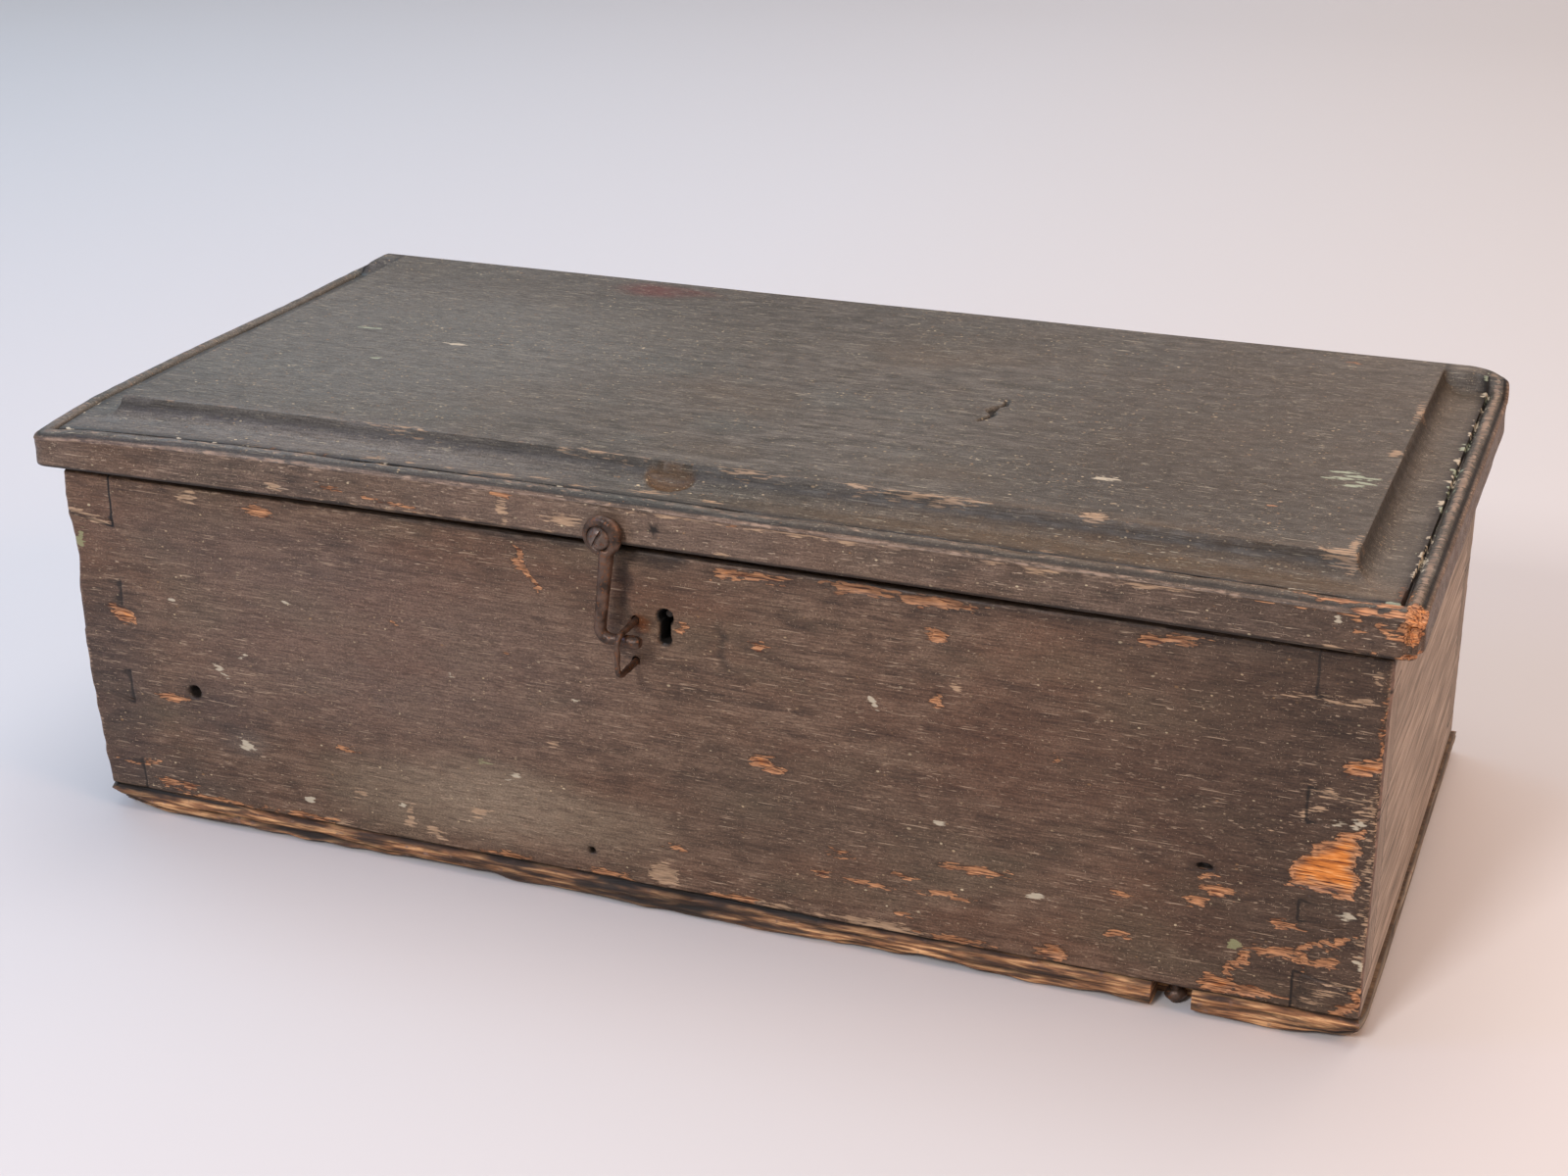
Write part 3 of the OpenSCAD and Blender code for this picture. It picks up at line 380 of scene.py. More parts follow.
def bare_pine(name, dark, mid, pale, grain_size, blotch_tint, blotched, stain_size):
    """Unpainted pine gone dull: rings drawn out along the grain, dark checks, stains and a trace of paint."""
    material, tree, where = blank_material(name)
    ring, fine, broad, shred = [
        fibres(tree, where, size, detail, seed)
        for size, detail, seed in (
            ([2.2 * s for s in grain_size], 5, 3), ([0.6 * s for s in grain_size], 3, 7), (stain_size, 4, 17),
            ((3, 3, 2), 6, 29),
        )
    ]
    colour = add(tree, "ShaderNodeValToRGB", {0: ring}, [(0.36, dark), (0.64, pale), (0.5, mid)]).outputs[0]
    film = add(tree, "ShaderNodeValToRGB", {0: shred}, [(0.35, "#4a3830"), (0.68, "#86695a")]).outputs[0]
    left = worn_field(tree, "paint_left", shred, 4)
    for field, low, high, share, shade in (
        (broad, 0.46, 0.62, blotched, blotch_tint), (fine, 0.45, 0.35, 0.2, "#33271f"),
        (fine, 0.35, 0.25, 0.65, "#33271f"), (left, 0.5, 0.9, 0.9, film),
    ):
        part = add(tree, "ShaderNodeMapRange", {0: field, 1: low, 2: high, 4: share}).outputs[0]
        colour = add(tree, "ShaderNodeMix", {0: part, 6: colour, 7: shade}, data_type="RGBA").outputs[2]
    dirt_and_shade = grime_and_shade(tree, 0.98, "end_seam", shred, 0.8, 0.5, 0.15, 0.75)
    colour = add(tree, "ShaderNodeMix", {0: dirt_and_shade, 6: colour, 7: "#14100c"}, data_type="RGBA").outputs[2]
    height = add(tree, "ShaderNodeMath", {0: ring, 1: 0.7, 2: fine}, operation="MULTIPLY_ADD").outputs[0]
    relief = {"Strength": 0.55, "Distance": 0.5 * MM, "Height": height}
    relief = add(tree, "ShaderNodeBump", relief).outputs[0]
    shader = add(tree, "ShaderNodeBsdfPrincipled", {
        "Base Color": colour, "Roughness": 0.72, "Normal": relief,
    })
    add(tree, "ShaderNodeOutputMaterial", {0: shader.outputs[0]})
    return material


# Old brown paint, brushed on pine: a dull satin skin over the grain, with bright wood in its chips
brown_paint = old_paint("worn_brown_paint", "#5e4a3c", "#7d6350", "#957a65", "#825c45", "#7c6d57", "#ab937a",
                        "#8f8e66", 0.135)
# Bare weathered pine, planed: matt and greyed, with fine dark lines along the grain
grey_end = bare_pine("weathered_pine_end", "#786c60", "#9a8b7d", "#b2a294", (16, 16, 0.65),
                     "#877a6d", 0.5, (60, 40, 24))
# Weathered end grain of pine, sawn: matt, darker than the side grain, in short bands
end_grain = bare_pine("weathered_end_grain", "#6f6458", "#8f8175", "#a69789", (4, 0.5, 6),
                      "#7b6f63", 0.5, (9, 5, 12))
# Handled pine of the rim, planed: brown with ground-in dirt and darkened further as painted shade for the gap
# under the lid, almost without shine
rim_along, rim_across = [
    bare_pine("grimy_shaded_rim_" + way, "#4a392c", "#67513e", "#806750", size, "#483a2e", 0.6, (24, 24, 24))
    for way, size in (("along", (14, 0.9, 0.9)), ("across", (0.9, 14, 0.9)))
]
# Unpainted pine inside, planed: warm brown and matt, darkened by age but not by weather
aged_pine = bare_pine("aged_pine_inside", "#5e4330", "#8a6748", "#a98560", (14, 14, 0.9),
                      "#6b5039", 0.5, (60, 40, 24))

# Marks on the front board, each (x, z, half length, half height, slope), read off the chest in mm
big_chip = [(171.4, 43.4), (171.8, 50), (175, 53.6), (178.6, 57), (183.4, 60.2), (189.6, 64.2), (188.4, 58.5),
            (187.4, 54), (188.6, 48), (187.8, 42.2), (180, 43.4)]
new_chips = [
    (187.5, 79.6, 4.4, 2.4, 0.35), (190.6, 84, 0.9, 4.5, 0), (191.4, 92, 0.5, 5, 0),
    (154.3, 38.1, 4.4, 1.8, 0), (147.6, 34.2, 3.6, 1.5, 0), (171.2, 31.9, 3.6, 1.1, 0),
    (169, 23.4, 8, 1.4, 0), (178.6, 27.2, 5.8, 1.4, 0.57), (186, 29.6, 3.2, 1.2, 0.78),
    (182, 23, 3.8, 1.5, 0.33), (176, 23, 1.4, 3, 0), (161.4, 20, 1.8, 2.6, 0.3),
    (158.4, 15.6, 1.5, 2.6, 0.5), (154, 10.4, 5.4, 2.8, 0.1), (164, 10.6, 7, 1.6, -0.05),
    (190.6, 14, 1.8, 3.4, 0), (187, 9.6, 4, 1.6, 0.3), (76, 98, 2.8, 2.3, 0), (76.2, 79.7, 1.7, 2.2, 0),
    (28.4, 52.8, 3.7, 2.6, -0.3), (4.4, 89, 1.2, 2.3, 0), (-177.5, 65.8, 4.4, 2.4, -0.35),
    (-162.5, 41.2, 5.4, 1.4, 0), (-126.9, 105.3, 5.4, 1.6, 0), (132.6, 105.7, 3, 1.6, 0),
    (138.5, 106.6, 7, 1.4, 0.1), (74, 107.4, 11, 1.6, 0), (55, 107.8, 9, 1.8, 0), (17, 106.6, 5, 1.7, 0),
    (26, 107, 7, 1.3, 0), (-44.6, 103, 1.6, 3.4, 0), (-42, 97.6, 3.4, 1.5, -1.49),
    (-86.1, 76.4, 1.1, 1.4, 0), (-103.5, 33.4, 3, 1.1, 0), (49.5, 29.4, 3, 0.9, 0),
    (1.8, 21.2, 3.3, 0.9, 0), (44, 22.1, 2.7, 0.9, 0), (57, 21.3, 6.8, 1, 0), (69.3, 25.8, 4.7, 0.9, 0),
    (82.3, 31.4, 3, 0.9, 0), (91, 31.5, 5.4, 1.2, 0), (78.8, 22.2, 6, 1, 0), (68.5, 14.5, 2.3, 0.8, 0),
    (127.5, 32.5, 2.4, 0.8, 0), (127.5, 20.1, 2.8, 1.5, 0), (110.7, 11, 4, 2.4, 0),
    (-164, 11.6, 8, 1.5, 0.05), (-176, 17, 6, 0.7, 0.1), (108.8, 68.4, 0.8, 0.9, 0),
    (149.8, 42.4, 2.6, 0.8, 0), (26.1, 87.3, 3.4, 0.9, 0), (-49.8, 72.4, 0.9, 0.9, 0),
    (-150, 8.6, 12, 1, 0), (-118, 9, 9, 1.1, 0), (-52, 8.9, 6, 1, 0), (-20, 8.8, 7, 1, 0),
    (18, 8.9, 8, 1, 0), (84, 9, 9, 1.2, 0),
]
old_chips = [
    (-3.1, 12.6, 4, 3.6, 0), (81.9, 84.8, 0.6, 0.6, 0), (-151.3, 106.4, 3, 1.4, 0),
    (-60.2, 21.1, 2.6, 1.4, 0), (-100.5, 19.9, 2, 1.3, 0), (-83.6, 16, 1.1, 2.8, 0),
    (-75.3, 11.9, 2.2, 1.3, 0), (-106.5, 9.4, 2.4, 1.2, 0), (-34.9, 48, 1.2, 1.2, 0),
    (24.6, 9.1, 3, 1.2, 0), (32.8, 8.8, 3, 1.1, 0), (-184, 95.6, 5, 0.9, -0.34), (179, 96.6, 5, 0.45, 0),
    (187, 98, 1.2, 0.8, 0), (60, 9.2, 14, 1.2, 0), (180, 68.6, 5, 0.35, 0.75), (185, 67, 4.4, 0.35, -0.8),
    (187.6, 66.6, 3.4, 0.4, 1.1), (177.4, 71.2, 2.4, 0.4, -0.3), (189, 70, 1.2, 0.5, 0),
    (182, 13.6, 3.4, 0.35, 0.6), (180, 11.6, 2.6, 0.35, -0.7), (185, 13, 2.4, 0.35, 0.9),
    (187, 16.6, 1.6, 0.6, 0), (188.6, 103, 0.6, 2.6, 0), (190.6, 68, 0.8, 4, 0), (190.8, 34, 0.7, 6, 0),
    (190.9, 52, 0.6, 5, 0),
]
pale_spots = [
    (58.8, 76.5, 1.1, 1.2, 0), (-136.6, 58.8, 1, 0.9, 0), (-145, 53, 2.8, 0.9, -0.6),
    (-138.6, 29.6, 2.6, 1.3, -0.4), (-67.6, 63.9, 1, 0.8, 0), (-86.2, 18.9, 1, 0.9, 0),
    (-117.8, 15, 1.1, 0.9, 0), (77.6, 44, 1.4, 0.7, 0), (106.7, 27, 2.2, 0.5, -0.1),
    (185.8, 37.4, 2.4, 1.5, 0.3), (179.4, 62.8, 1.8, 1, 0), (186.6, 64, 1.6, 1, 0.4),
    (191, 24, 0.8, 2.2, 0), (-121, 78, 1, 0.8, 0), (-160, 73, 0.9, 0.8, 0), (-30, 62, 0.9, 0.8, 0),
    (-48, 35, 2.4, 0.7, 0.2),
]
green_spots = [(158.4, 23.4, 2.2, 1.5, 0), (-189, 88, 1.6, 3, 0), (-60, 38, 1.6, 0.6, 0)]

# Soft stains in the paint, and painted shade at the right: a mark each as above, then its colour and how much
# of it shows
front_stains_and_shading = [
    (-58, 25, 32, 11, 0, "#a8957e", 0.85), (-92, 20, 16, 7, 0, "#95826c", 0.6),
    (-18, 24, 18, 8, 0, "#93806a", 0.6), (-138, 30, 6, 4, 0, "#948677", 0.5),
    (-146, 38, 13, 10, 0, "#4b3f40", 0.4), (40, 40, 40, 16, 0, "#6b5a4a", 0.4),
    # Painted shade: the big dark patch over the right end and the faint band under the lid at the right paint
    # the light falling off towards the right
    (118, 66, 52, 18, 0, "#6d4a38", 0.35), (186, 60, 44, 70, 0, "#43342a", 0.58),
    (160, 98, 40, 12, 0, "#45362b", 0.2), (-184, 42, 14, 26, 0, "#453c3c", 0.5),
    (-168, 13, 26, 8, 0, "#4e4440", 0.45), (-130, 92, 50, 10, 0, "#7a665c", 0.4),
    (-92, 66, 60, 26, 0, "#927c70", 0.45), (-8.6, 88.6, 2.6, 1.9, 0, "#7d4519", 0.85),
]
# Dark marks in the paint, each as above: stains, a painted shadow of the hook's rod along its right side, and
# painted shade widening the gap under the lid across the middle
stains_and_shading = [
    (15.3, 85.4, 1.2, 6, 0), (-12.4, 98, 1.5, 10, 0), (176, 14, 0.9, 7, 0), (-3, 108.6, 9, 2.4, 0),
    (-45, 109.6, 46, 1.5, 0),
]

# Old holes in the front, each (x, z, radius, depth, how many times longer than high)
holes = [(-154.5, 44, 2.3, 4, 1), (149.3, 44.4, 1.1, 2, 2.2), (-25.4, 15.4, 1.1, 3, 1)]

# Keyhole: middle of its round part, x and z; radius of that and of the lobe under it; the neck between them
keyhole = (-1, 91.3)
key_r, lobe_r, lobe_drop, neck_half = 2.3, 1.75, 6.2, 1.4

# Pins that show on the front: (x of the baseline, x of the corner, low z, high z, how dark the joint is)
rim = box_high[2]
front_low, front_high = corners("front_board")
board_t = front_high[1] - front_low[1]
pin_slope = 0.2
pins = [
    (-177, -192, 93.6, rim + 4, 1), (-177, -192, 68.7, 76.6, 0.8), (-177, -192, 37, 47.6, 0.8),
    (-177, -192, 5, 17.9, 0.8), (174, 192, 97, rim + 4, 0.7), (174, 192, 62, 72, 0.8),
    (174, 192, 33.5, 40, 0.8), (174, 192, 5, 19, 0.9),
]


def key_distance(points):
    """Distance in mm from the worn edge of the keyhole: a round over a shorter, narrower lobe."""
    across, above = points[:, 0] - keyhole[0], points[:, 2] - keyhole[1]
    round_part = np.hypot(across, above) - key_r
    lobe = np.hypot(across, above + lobe_drop) - lobe_r
    neck = np.maximum(np.abs(across) - neck_half, np.abs(above + lobe_drop / 2) - lobe_drop / 2)
    return np.minimum(np.minimum(round_part, lobe), neck)


def front_wear(points):
    """Wear fields of the painted faces at points in mm, before they are shaped."""
    front = points[:, 1] < box_mid[1]
    x = points[:, 0] + 2.0 * wander(points, (5, 5, 1.7), 41)
    x = np.where(front, x, -x * 1.07 + 9)
    z = points[:, 2] + 0.8 * wander(points, (3.5, 3.5, 1.5), 42)
    below, above = rim - points[:, 2], points[:, 2] - box_low[2]
    depth_in = box_half[1] - np.abs(points[:, 1] - box_mid[1])
    outer_in = (box_half - np.abs(points - box_mid))[:, :2].min(axis=1)
    edge = np.minimum(box_half[0] - np.abs(points[:, 0]), np.minimum(below, above))
    rub_and_highlight = 0.7 * np.exp(-(edge / 1.5) ** 2) + 0.4 * wander(points, (11, 11, 7), 43) * np.exp(-edge / 3)

    # Lines of the dovetails, on the front and on the ends
    seam, tail = np.full(len(points), -FAR), np.full(len(points), -FAR)
    open_seam = np.zeros(len(points))
    for base, corner, low, high, dark in pins:
        along = (points[:, 0] - base) * np.sign(corner)
        lean = pin_slope * along
        inside = np.minimum(along, np.minimum(points[:, 2] - low - lean, high - lean - points[:, 2]))
        open_here = dark * np.clip(np.exp(-(along / 2.5) ** 2) + dark * dark * 0.8 - 0.25, 0, 1)
        open_seam = np.where(inside > seam, open_here, open_seam)
        seam = np.maximum(seam, np.clip(inside, -FAR, FAR))
        lean = pin_slope * abs(corner - base)
        inside = np.minimum(points[:, 2] - low - lean, high - lean - points[:, 2])
        tail = np.maximum(tail, np.where(points[:, 0] * corner > 0, inside, -FAR))
    end_seam = np.maximum(depth_in - board_t, tail)
    on_end = (box_half[0] - np.abs(points[:, 0]) < 3) & (depth_in < board_t + 2)

    # Dirt and painted shade: the dark marks above, which hold stains and painted shadows, dirt along the
    # bottom, painted shade on the rim's outside for the gap under the lid, a painted shadow of the lid from
    # the middle rightwards, and painted shade filling the keyhole and the holes, with dirt round the holes
    dirt_and_shade_parts = [
        0.6 * ease(marked(x, z, stains_and_shading), -1.2, 0.8) * front,
        0.8 * np.exp(-(above / 0.55) ** 2),
        # Painted shade: the rim's outer part darkened so the gap under the lid reads dark
        0.9 * ease(points[:, 2], rim - 1.0, rim - 0.2) * ease(-outer_in, -7, -3),
        # Painted shadow of the lid's overhang on the front, from the middle rightwards
        0.5 * np.exp(-(below / 3.6) ** 2) * ease(points[:, 0], -20, 60) * front,
        # Painted shade: the keyhole filled near black
        ease(-key_distance(points), -0.5, -0.15) * front,
    ]
    # Painted shade filling each hole, with a softer ring of dirt round it
    for hole_x, hole_z, radius, depth, longer in holes:
        off = np.hypot((points[:, 0] - hole_x) / longer, points[:, 2] - hole_z) / radius
        dirt_and_shade_parts.append(front * (np.exp(-(off / 0.9) ** 4) + 0.5 * np.exp(-(off / 2) ** 2)))
    behind = 1.6 * np.clip(depth_in - 1.2, 0, 5)
    return {
        "fresh_wood": np.maximum(marked(x, z, new_chips), outlined(x, z, big_chip)) - behind,
        "old_wood": marked(x, z, old_chips) - behind,
        "pale_fleck": np.where(front, marked(x, z, pale_spots), -FAR) - behind,
        "green_fleck": np.where(front, marked(x, z, green_spots), -FAR) - behind,
        "blotch_tint": stained_and_shaded(x, z, front_stains_and_shading),
        "paint_left": np.clip(2.6 - depth_in, -FAR, FAR) + 0.8 * wander(points, (9, 9, 9), 45),
        "end_seam": np.clip(end_seam, -FAR, FAR),
        "open_end_seam": 1.0 * on_end,
        "rub_and_highlight": np.clip(rub_and_highlight, 0, 1),
        "dirt_and_shade": np.clip(np.max(dirt_and_shade_parts, axis=0), 0, 1),
        "seam": seam,
        "open_seam": open_seam,
    }


def box_worn(points, wear):
    """Points of the box after long use: round arrises, uneven faces, chips and holes sunk in."""
    front = points[:, 1] < box_mid[1]
    arris = 1.7 + 0.7 * wander(points, (19, 19, 15), 1) + 0.5 * wander(points, (6, 6, 6), 2)
    arris = np.where(points[:, 2] < box_mid[2], 0.55 * arris, arris)
    local = points - box_mid
    core = np.clip(local, arris[:, None] - box_half, box_half - arris[:, None])
    out = local - core
    reach = np.abs(out).max(axis=1) / np.maximum(np.linalg.norm(out, axis=1), 1e-9)
    soft = box_mid + core + out * reach[:, None]
    swell = 0.28 * wander(points, (75, 75, 26), 3) + 0.06 * wander(points, (36, 36, 1.9), 4)
    sunk = 0.5 * np.clip(wear["fresh_wood"], 0, 1.2) + 0.25 * np.clip(wear["old_wood"], 0, 1)
    sunk = sunk + 0.35 * np.clip(wear["dirt_and_shade"], 0, 1) - swell
    sunk = sunk + 0.3 * wear["open_seam"] * np.exp(-(wear["seam"] / 0.5) ** 2)
    sunk = sunk + 0.8 * ease(-key_distance(points), -0.5, -0.1) * front
    for hole_x, hole_z, radius, depth, longer in holes:
        off = np.hypot((points[:, 0] - hole_x) / longer, points[:, 2] - hole_z)
        sunk = sunk + depth * ease(-off, -radius, -0.45 * radius) * front

    # The front left corner is worn away towards the bottom
    corner = np.clip(1 - (points[:, 1] - box_low[1]) / 45, 0, 1)
    corner = corner * np.clip(1 - (points[:, 0] - box_low[0]) / 26, 0, 1)
    height = points * [0, 0, 1]
    taper = 3.2 * np.clip((62 - points[:, 2]) / 54, 0, 1) ** 1.3 - 0.9 * ease(points[:, 2], 92, 96)
    taper = taper + 0.8 * wander(height, (1, 1, 14), 6) + 0.5 * wander(height, (1, 1, 4), 7)
    soft[:, 0] += corner * taper
    for axis, amount in ((1, sunk), (0, -swell)):
        depth_in = box_half[axis] - np.abs(local[:, axis])
        soft[:, axis] -= np.sign(local[:, axis]) * amount * np.clip(1 - depth_in / 3, 0, 1)
    return soft


close = np.array([0.3, 0.7, 1.2, 1.9, 2.8])
around = np.array([-2.4, -1.8, -1.2, -0.6, 0, 0.6, 1.2, 1.8, 2.4])
ends_x = [box_low[0] + close, box_high[0] - close]
rims_z = [box_low[2] + close, box_high[2] - close]
skin = 4
depth_y = [box_low[1] + d for d in (skin, 1, 2)] + [box_high[1] - d for d in (2, 1, skin)]
depth_x = [box_low[0] + skin, box_high[0] - skin]
steps = {
    "front_board": ((1.1, 5, 0.78), [h[0] + around for h in holes] + [np.arange(-4.5, 3, 0.35)],
                    [h[1] + around for h in holes] + [np.arange(82.5, 95, 0.45)]),
    "back_board": ((1.7, 5, 1.3), [], []),
    "left_end_board": ((5, 1.5, 1.1), [], []),
    "right_end_board": ((5, 1.5, 1.1), [], []),
}
for name, (step, more_x, more_z) in steps.items():
    shape = sliced(
        name,
        {0: depth_x, 1: depth_y, 2: [rim - 3]},
        {0: spaced(box_low[0], box_high[0], step[0], *ends_x, *more_x),
         1: spaced(box_low[1], box_high[1], step[1], box_low[1] + close, box_high[1] - close),
         2: spaced(box_low[2], box_high[2], step[2], *rims_z, *more_z)},
        skin,
    )
    board = as_mesh(shape, name)
    points = np.array([v.co for v in board.vertices])
    middle = np.array([p.center for p in board.polygons])
    facing = np.array([p.normal for p in board.polygons])
    painted = (np.abs(facing[:, 1]) > 0.7) & (np.abs(np.abs(middle[:, 1] - box_mid[1]) - box_half[1]) < 0.01)
    outer = (box_half - np.abs(middle - box_mid))[:, :2].min(axis=1) < skin
    painted |= outer & (facing[:, 2] > 0.7) & (middle[:, 2] > rim - 0.01)
    ended = (np.abs(facing[:, 0]) > 0.7) & (np.abs(np.abs(middle[:, 0]) - box_half[0]) < 0.01)
    wear = front_wear(points)
    on_rim = (facing[:, 2] > 0.7) & (middle[:, 2] > rim - 0.01)
    bare = (grey_end, aged_pine, rim_across) if "end" in name else (end_grain, aged_pine, rim_along)
    dressed(board, box_worn(points, wear), wear, (brown_paint, *bare),
            np.where(painted, 0, np.where(ended, 1, np.where(on_rim, 3, 2))))
    stand_in(board, name)

# Bottom: one pine board nailed up against the box's lower edges, never painted.
# Damp and dragging have eroded its edge into dark and light streaks and rounded its corners.
floor_low, floor_high = corners("bottom_board")
floor_mid = (floor_low + floor_high) / 2
floor_half = (floor_high - floor_low) / 2
# Eroded pine, split and worn: pale hard streaks between dark rotten ones
streaked_pine = bare_pine("eroded_pine", "#4a3020", "#9d6c45", "#e6b27c", (5.5, 5.5, 0.42),
                          "#35251b", 0.85, (15, 15, 1.9))
# Weathered pine at the board's ends, sawn: grey brown, rough and dull
grey_floor = bare_pine("weathered_pine_floor", "#5d5246", "#837767", "#a29583", (12, 12, 0.7),
                       "#4d4338", 0.6, (20, 20, 4))
# Aged pine of the board's faces, planed: an even brown, matt
plain_floor = bare_pine("aged_pine_floor", "#5e4836", "#83674c", "#9f8261", (16, 1.2, 1.2),
                        "#5b4735", 0.55, (60, 12, 24))

shape = in_mm("bottom_board")
edge_in = np.array([0.4, 0.9, 1.6, 2.6, 4, 6.5, 10, 16])
cut(shape, {
    0: spaced(floor_low[0], floor_high[0], 1.5, floor_low[0] + edge_in, floor_high[0] - edge_in),
    1: np.concatenate([floor_low[1] + edge_in, floor_high[1] - edge_in, np.linspace(-60, 60, 7)]),
    2: [0.4, 0.9, 1.5, 2.2, 3, 3.8, 4.6, 5.4, 6.1, 6.7, 7.1],
}, lambda: shape.faces[:])
board = as_mesh(shape, "bottom_board")
points = np.array([v.co for v in board.vertices])
local = points - floor_mid
inward = floor_half - np.abs(local)
near_edge = np.clip(1 - inward[:, :2].min(axis=1) / 9, 0, 1)
low_part = np.clip(1 - points[:, 2] / floor_high[2], 0, 1)

# The lower arris is worn up, most at the two front corners, and the edges are gouged along the grain
lengthwise = points * [1, 0, 0]
from_left = points[:, 0] - floor_low[0]
from_right = floor_high[0] - points[:, 0]
lift = 1.1 + 0.9 * wander(lengthwise, (24, 1, 1), 51) + 0.7 * wander(lengthwise, (7, 1, 1), 52)
lift = lift + 4.6 * np.clip(1 - from_left / 30, 0, 1) ** 2 + 2.4 * np.clip(1 - from_right / 22, 0, 1) ** 2
rise = np.clip(lift, 0.2, 6) * near_edge ** 2 * low_part
rotten = wander(points, (26, 26, 1.3), 56)
gouge = 0.5 * wander(points, (38, 38, 1.5), 53) + 0.55 * wander(points, (13, 13, 0.9), 54) + 0.35
gouge = np.clip(gouge + 0.4 * wander(points, (5, 5, 1.1), 57), -0.1, 2)
gouge = gouge + 0.9 * ease(rotten, 0.25, 0.6) + 1.6 * np.clip(1 - inward[:, 2] / 1.4, 0, 1) ** 2
moved = points.copy()
moved[:, 2] += rise
front_half = local[:, 1] < 0
for off, amount, run, depth in ((from_left, 5.4, 24, 26), (from_right, -1.2, 20, 12)):
    drawn_in = np.clip(1 - off / run, 0, 1) * np.clip(1 - inward[:, 1] / depth, 0, 1) ** 2
    moved[:, 0] += amount * drawn_in * front_half
for axis, amount in ((0, np.where(local[:, 0] > 0, 0.3 * gouge - 0.4, gouge)), (1, gouge)):
    moved[:, axis] -= np.sign(local[:, axis]) * amount * np.clip(1 - inward[:, axis] / 5, 0, 1)
# Dirt in rotten streaks and patches, and painted shade along the board's top where the box stands on it
floor_wear = {
    "dirt_and_shade": np.clip(0.55 * np.clip(1 - (floor_high[2] - points[:, 2]) / 0.9, 0, 1)
                    + 0.85 * ease(rotten, 0.3, 0.6)
                    + 0.42 * ease(points[:, 0], -78, -60) * ease(-points[:, 0], -30, 0)
                    + 0.4 * ease(wander(points, (34, 34, 5), 58), -0.1, 0.5), 0, 1) * near_edge ** 2,
}
facing = np.array([p.normal for p in board.polygons])
end_in = floor_half[0] - np.abs([p.center[0] for p in board.polygons])
skins = np.where(np.abs(facing[:, 2]) > 0.7, 2, (np.abs(facing[:, 0]) > 0.7) & (end_in < 8))
dressed(board, moved, floor_wear, (streaked_pine, grey_floor, plain_floor), skins)
stand_in(board, "bottom_board")


# Nails: hand-made iron nails driven up through the bottom board, rusted dark, their heads level with it.
# One stands bare in a worn notch at the front. Each has a tapering shank and a hammered head.
def old_iron(name, dark, brown, rust, rusted, metal, shine):
    """Hand-worked iron: dark scale, rust in the pits, and a dull shine where hands have rubbed it."""
    material, tree, where = blank_material(name)
    patch = fibres(tree, where, (4, 4, 4), 6, 2)
    pit = fibres(tree, where, (0.8, 0.8, 0.8), 4, 9)
    colour = add(tree, "ShaderNodeValToRGB", {0: patch}, [(0.36, dark), (0.62, brown)]).outputs[0]
    part = add(tree, "ShaderNodeMapRange", {0: pit, 1: 0.6 - 0.2 * rusted, 2: 0.72 - 0.1 * rusted}).outputs[0]
    colour = add(tree, "ShaderNodeMix", {0: part, 6: colour, 7: rust}, data_type="RGBA").outputs[2]
    height = add(tree, "ShaderNodeMath", {0: patch, 1: 0.5, 2: pit}, operation="MULTIPLY_ADD").outputs[0]
    relief = add(tree, "ShaderNodeBump", {"Strength": 0.5, "Distance": 0.3 * MM, "Height": height}).outputs[0]
    rough = add(tree, "ShaderNodeMapRange", {0: pit, 1: 0.35, 2: 0.65, 3: shine, 4: shine + 0.25}).outputs[0]
    shader = add(tree, "ShaderNodeBsdfPrincipled", {
        "Base Color": colour, "Roughness": rough, "Metallic": metal, "Normal": relief,
    })
    add(tree, "ShaderNodeOutputMaterial", {0: shader.outputs[0]})
    return material


# Wrought iron, hammered: dark brown scale, rust in the pits, a dull shine on the high places
rusty_iron = old_iron("rusty_wrought_iron", "#33271f", "#665043", "#7a4c2c", 0.22, 0.5, 0.3)


def loose_parts(node):
    """Lowest and highest corner, in mm, of each separate solid in a CAD node."""
    mesh = bmesh.new()
    mesh.from_mesh(frame["nodes"][node].data)
    bmesh.ops.remove_doubles(mesh, verts=mesh.verts, dist=1e-6)
    left, found = set(mesh.verts), []
    while left:
        grown = [left.pop()]
        for vert in grown:
            fresh = {edge.other_vert(vert) for edge in vert.link_edges} & left
            left -= fresh
            grown.extend(fresh)
        places = np.array([vert.co for vert in grown]) / MM
        found.append((places.min(axis=0), places.max(axis=0)))
    mesh.free()
    return sorted(found, key=lambda part: tuple(np.round(part[0], 1)))


nail_boxes = loose_parts("bottom_nails")
nail_len = nail_boxes[0][1][2] - nail_boxes[0][0][2]
nail_head_r = (nail_boxes[0][1][0] - nail_boxes[0][0][0]) / 2
nail_sizes = {"Head Radius": nail_head_r, "Head Height": 2.2, "Shank Radius": 1.7, "Point Radius": 0.9,
              "Shank Length": nail_len, "Seed": 7}
tree = bpy.data.node_groups.new("forged_nails", "GeometryNodeTree")
tree.interface.new_socket("Geometry", in_out="INPUT", socket_type="NodeSocketGeometry")
tree.interface.new_socket("Geometry", in_out="OUTPUT", socket_type="NodeSocketGeometry")
nail_inputs = {}
for label, value in nail_sizes.items():
    kind = "NodeSocketInt" if label == "Seed" else "NodeSocketFloat"
    nail_inputs[label] = tree.interface.new_socket(label, in_out="INPUT", socket_type=kind).identifier
given = add(tree, "NodeGroupInput").outputs
shank = add(tree, "GeometryNodeMeshCone", {
    "Vertices": 12, "Side Segments": 6, "Radius Top": given["Point Radius"],
    "Radius Bottom": given["Shank Radius"], "Depth": given["Shank Length"],
})
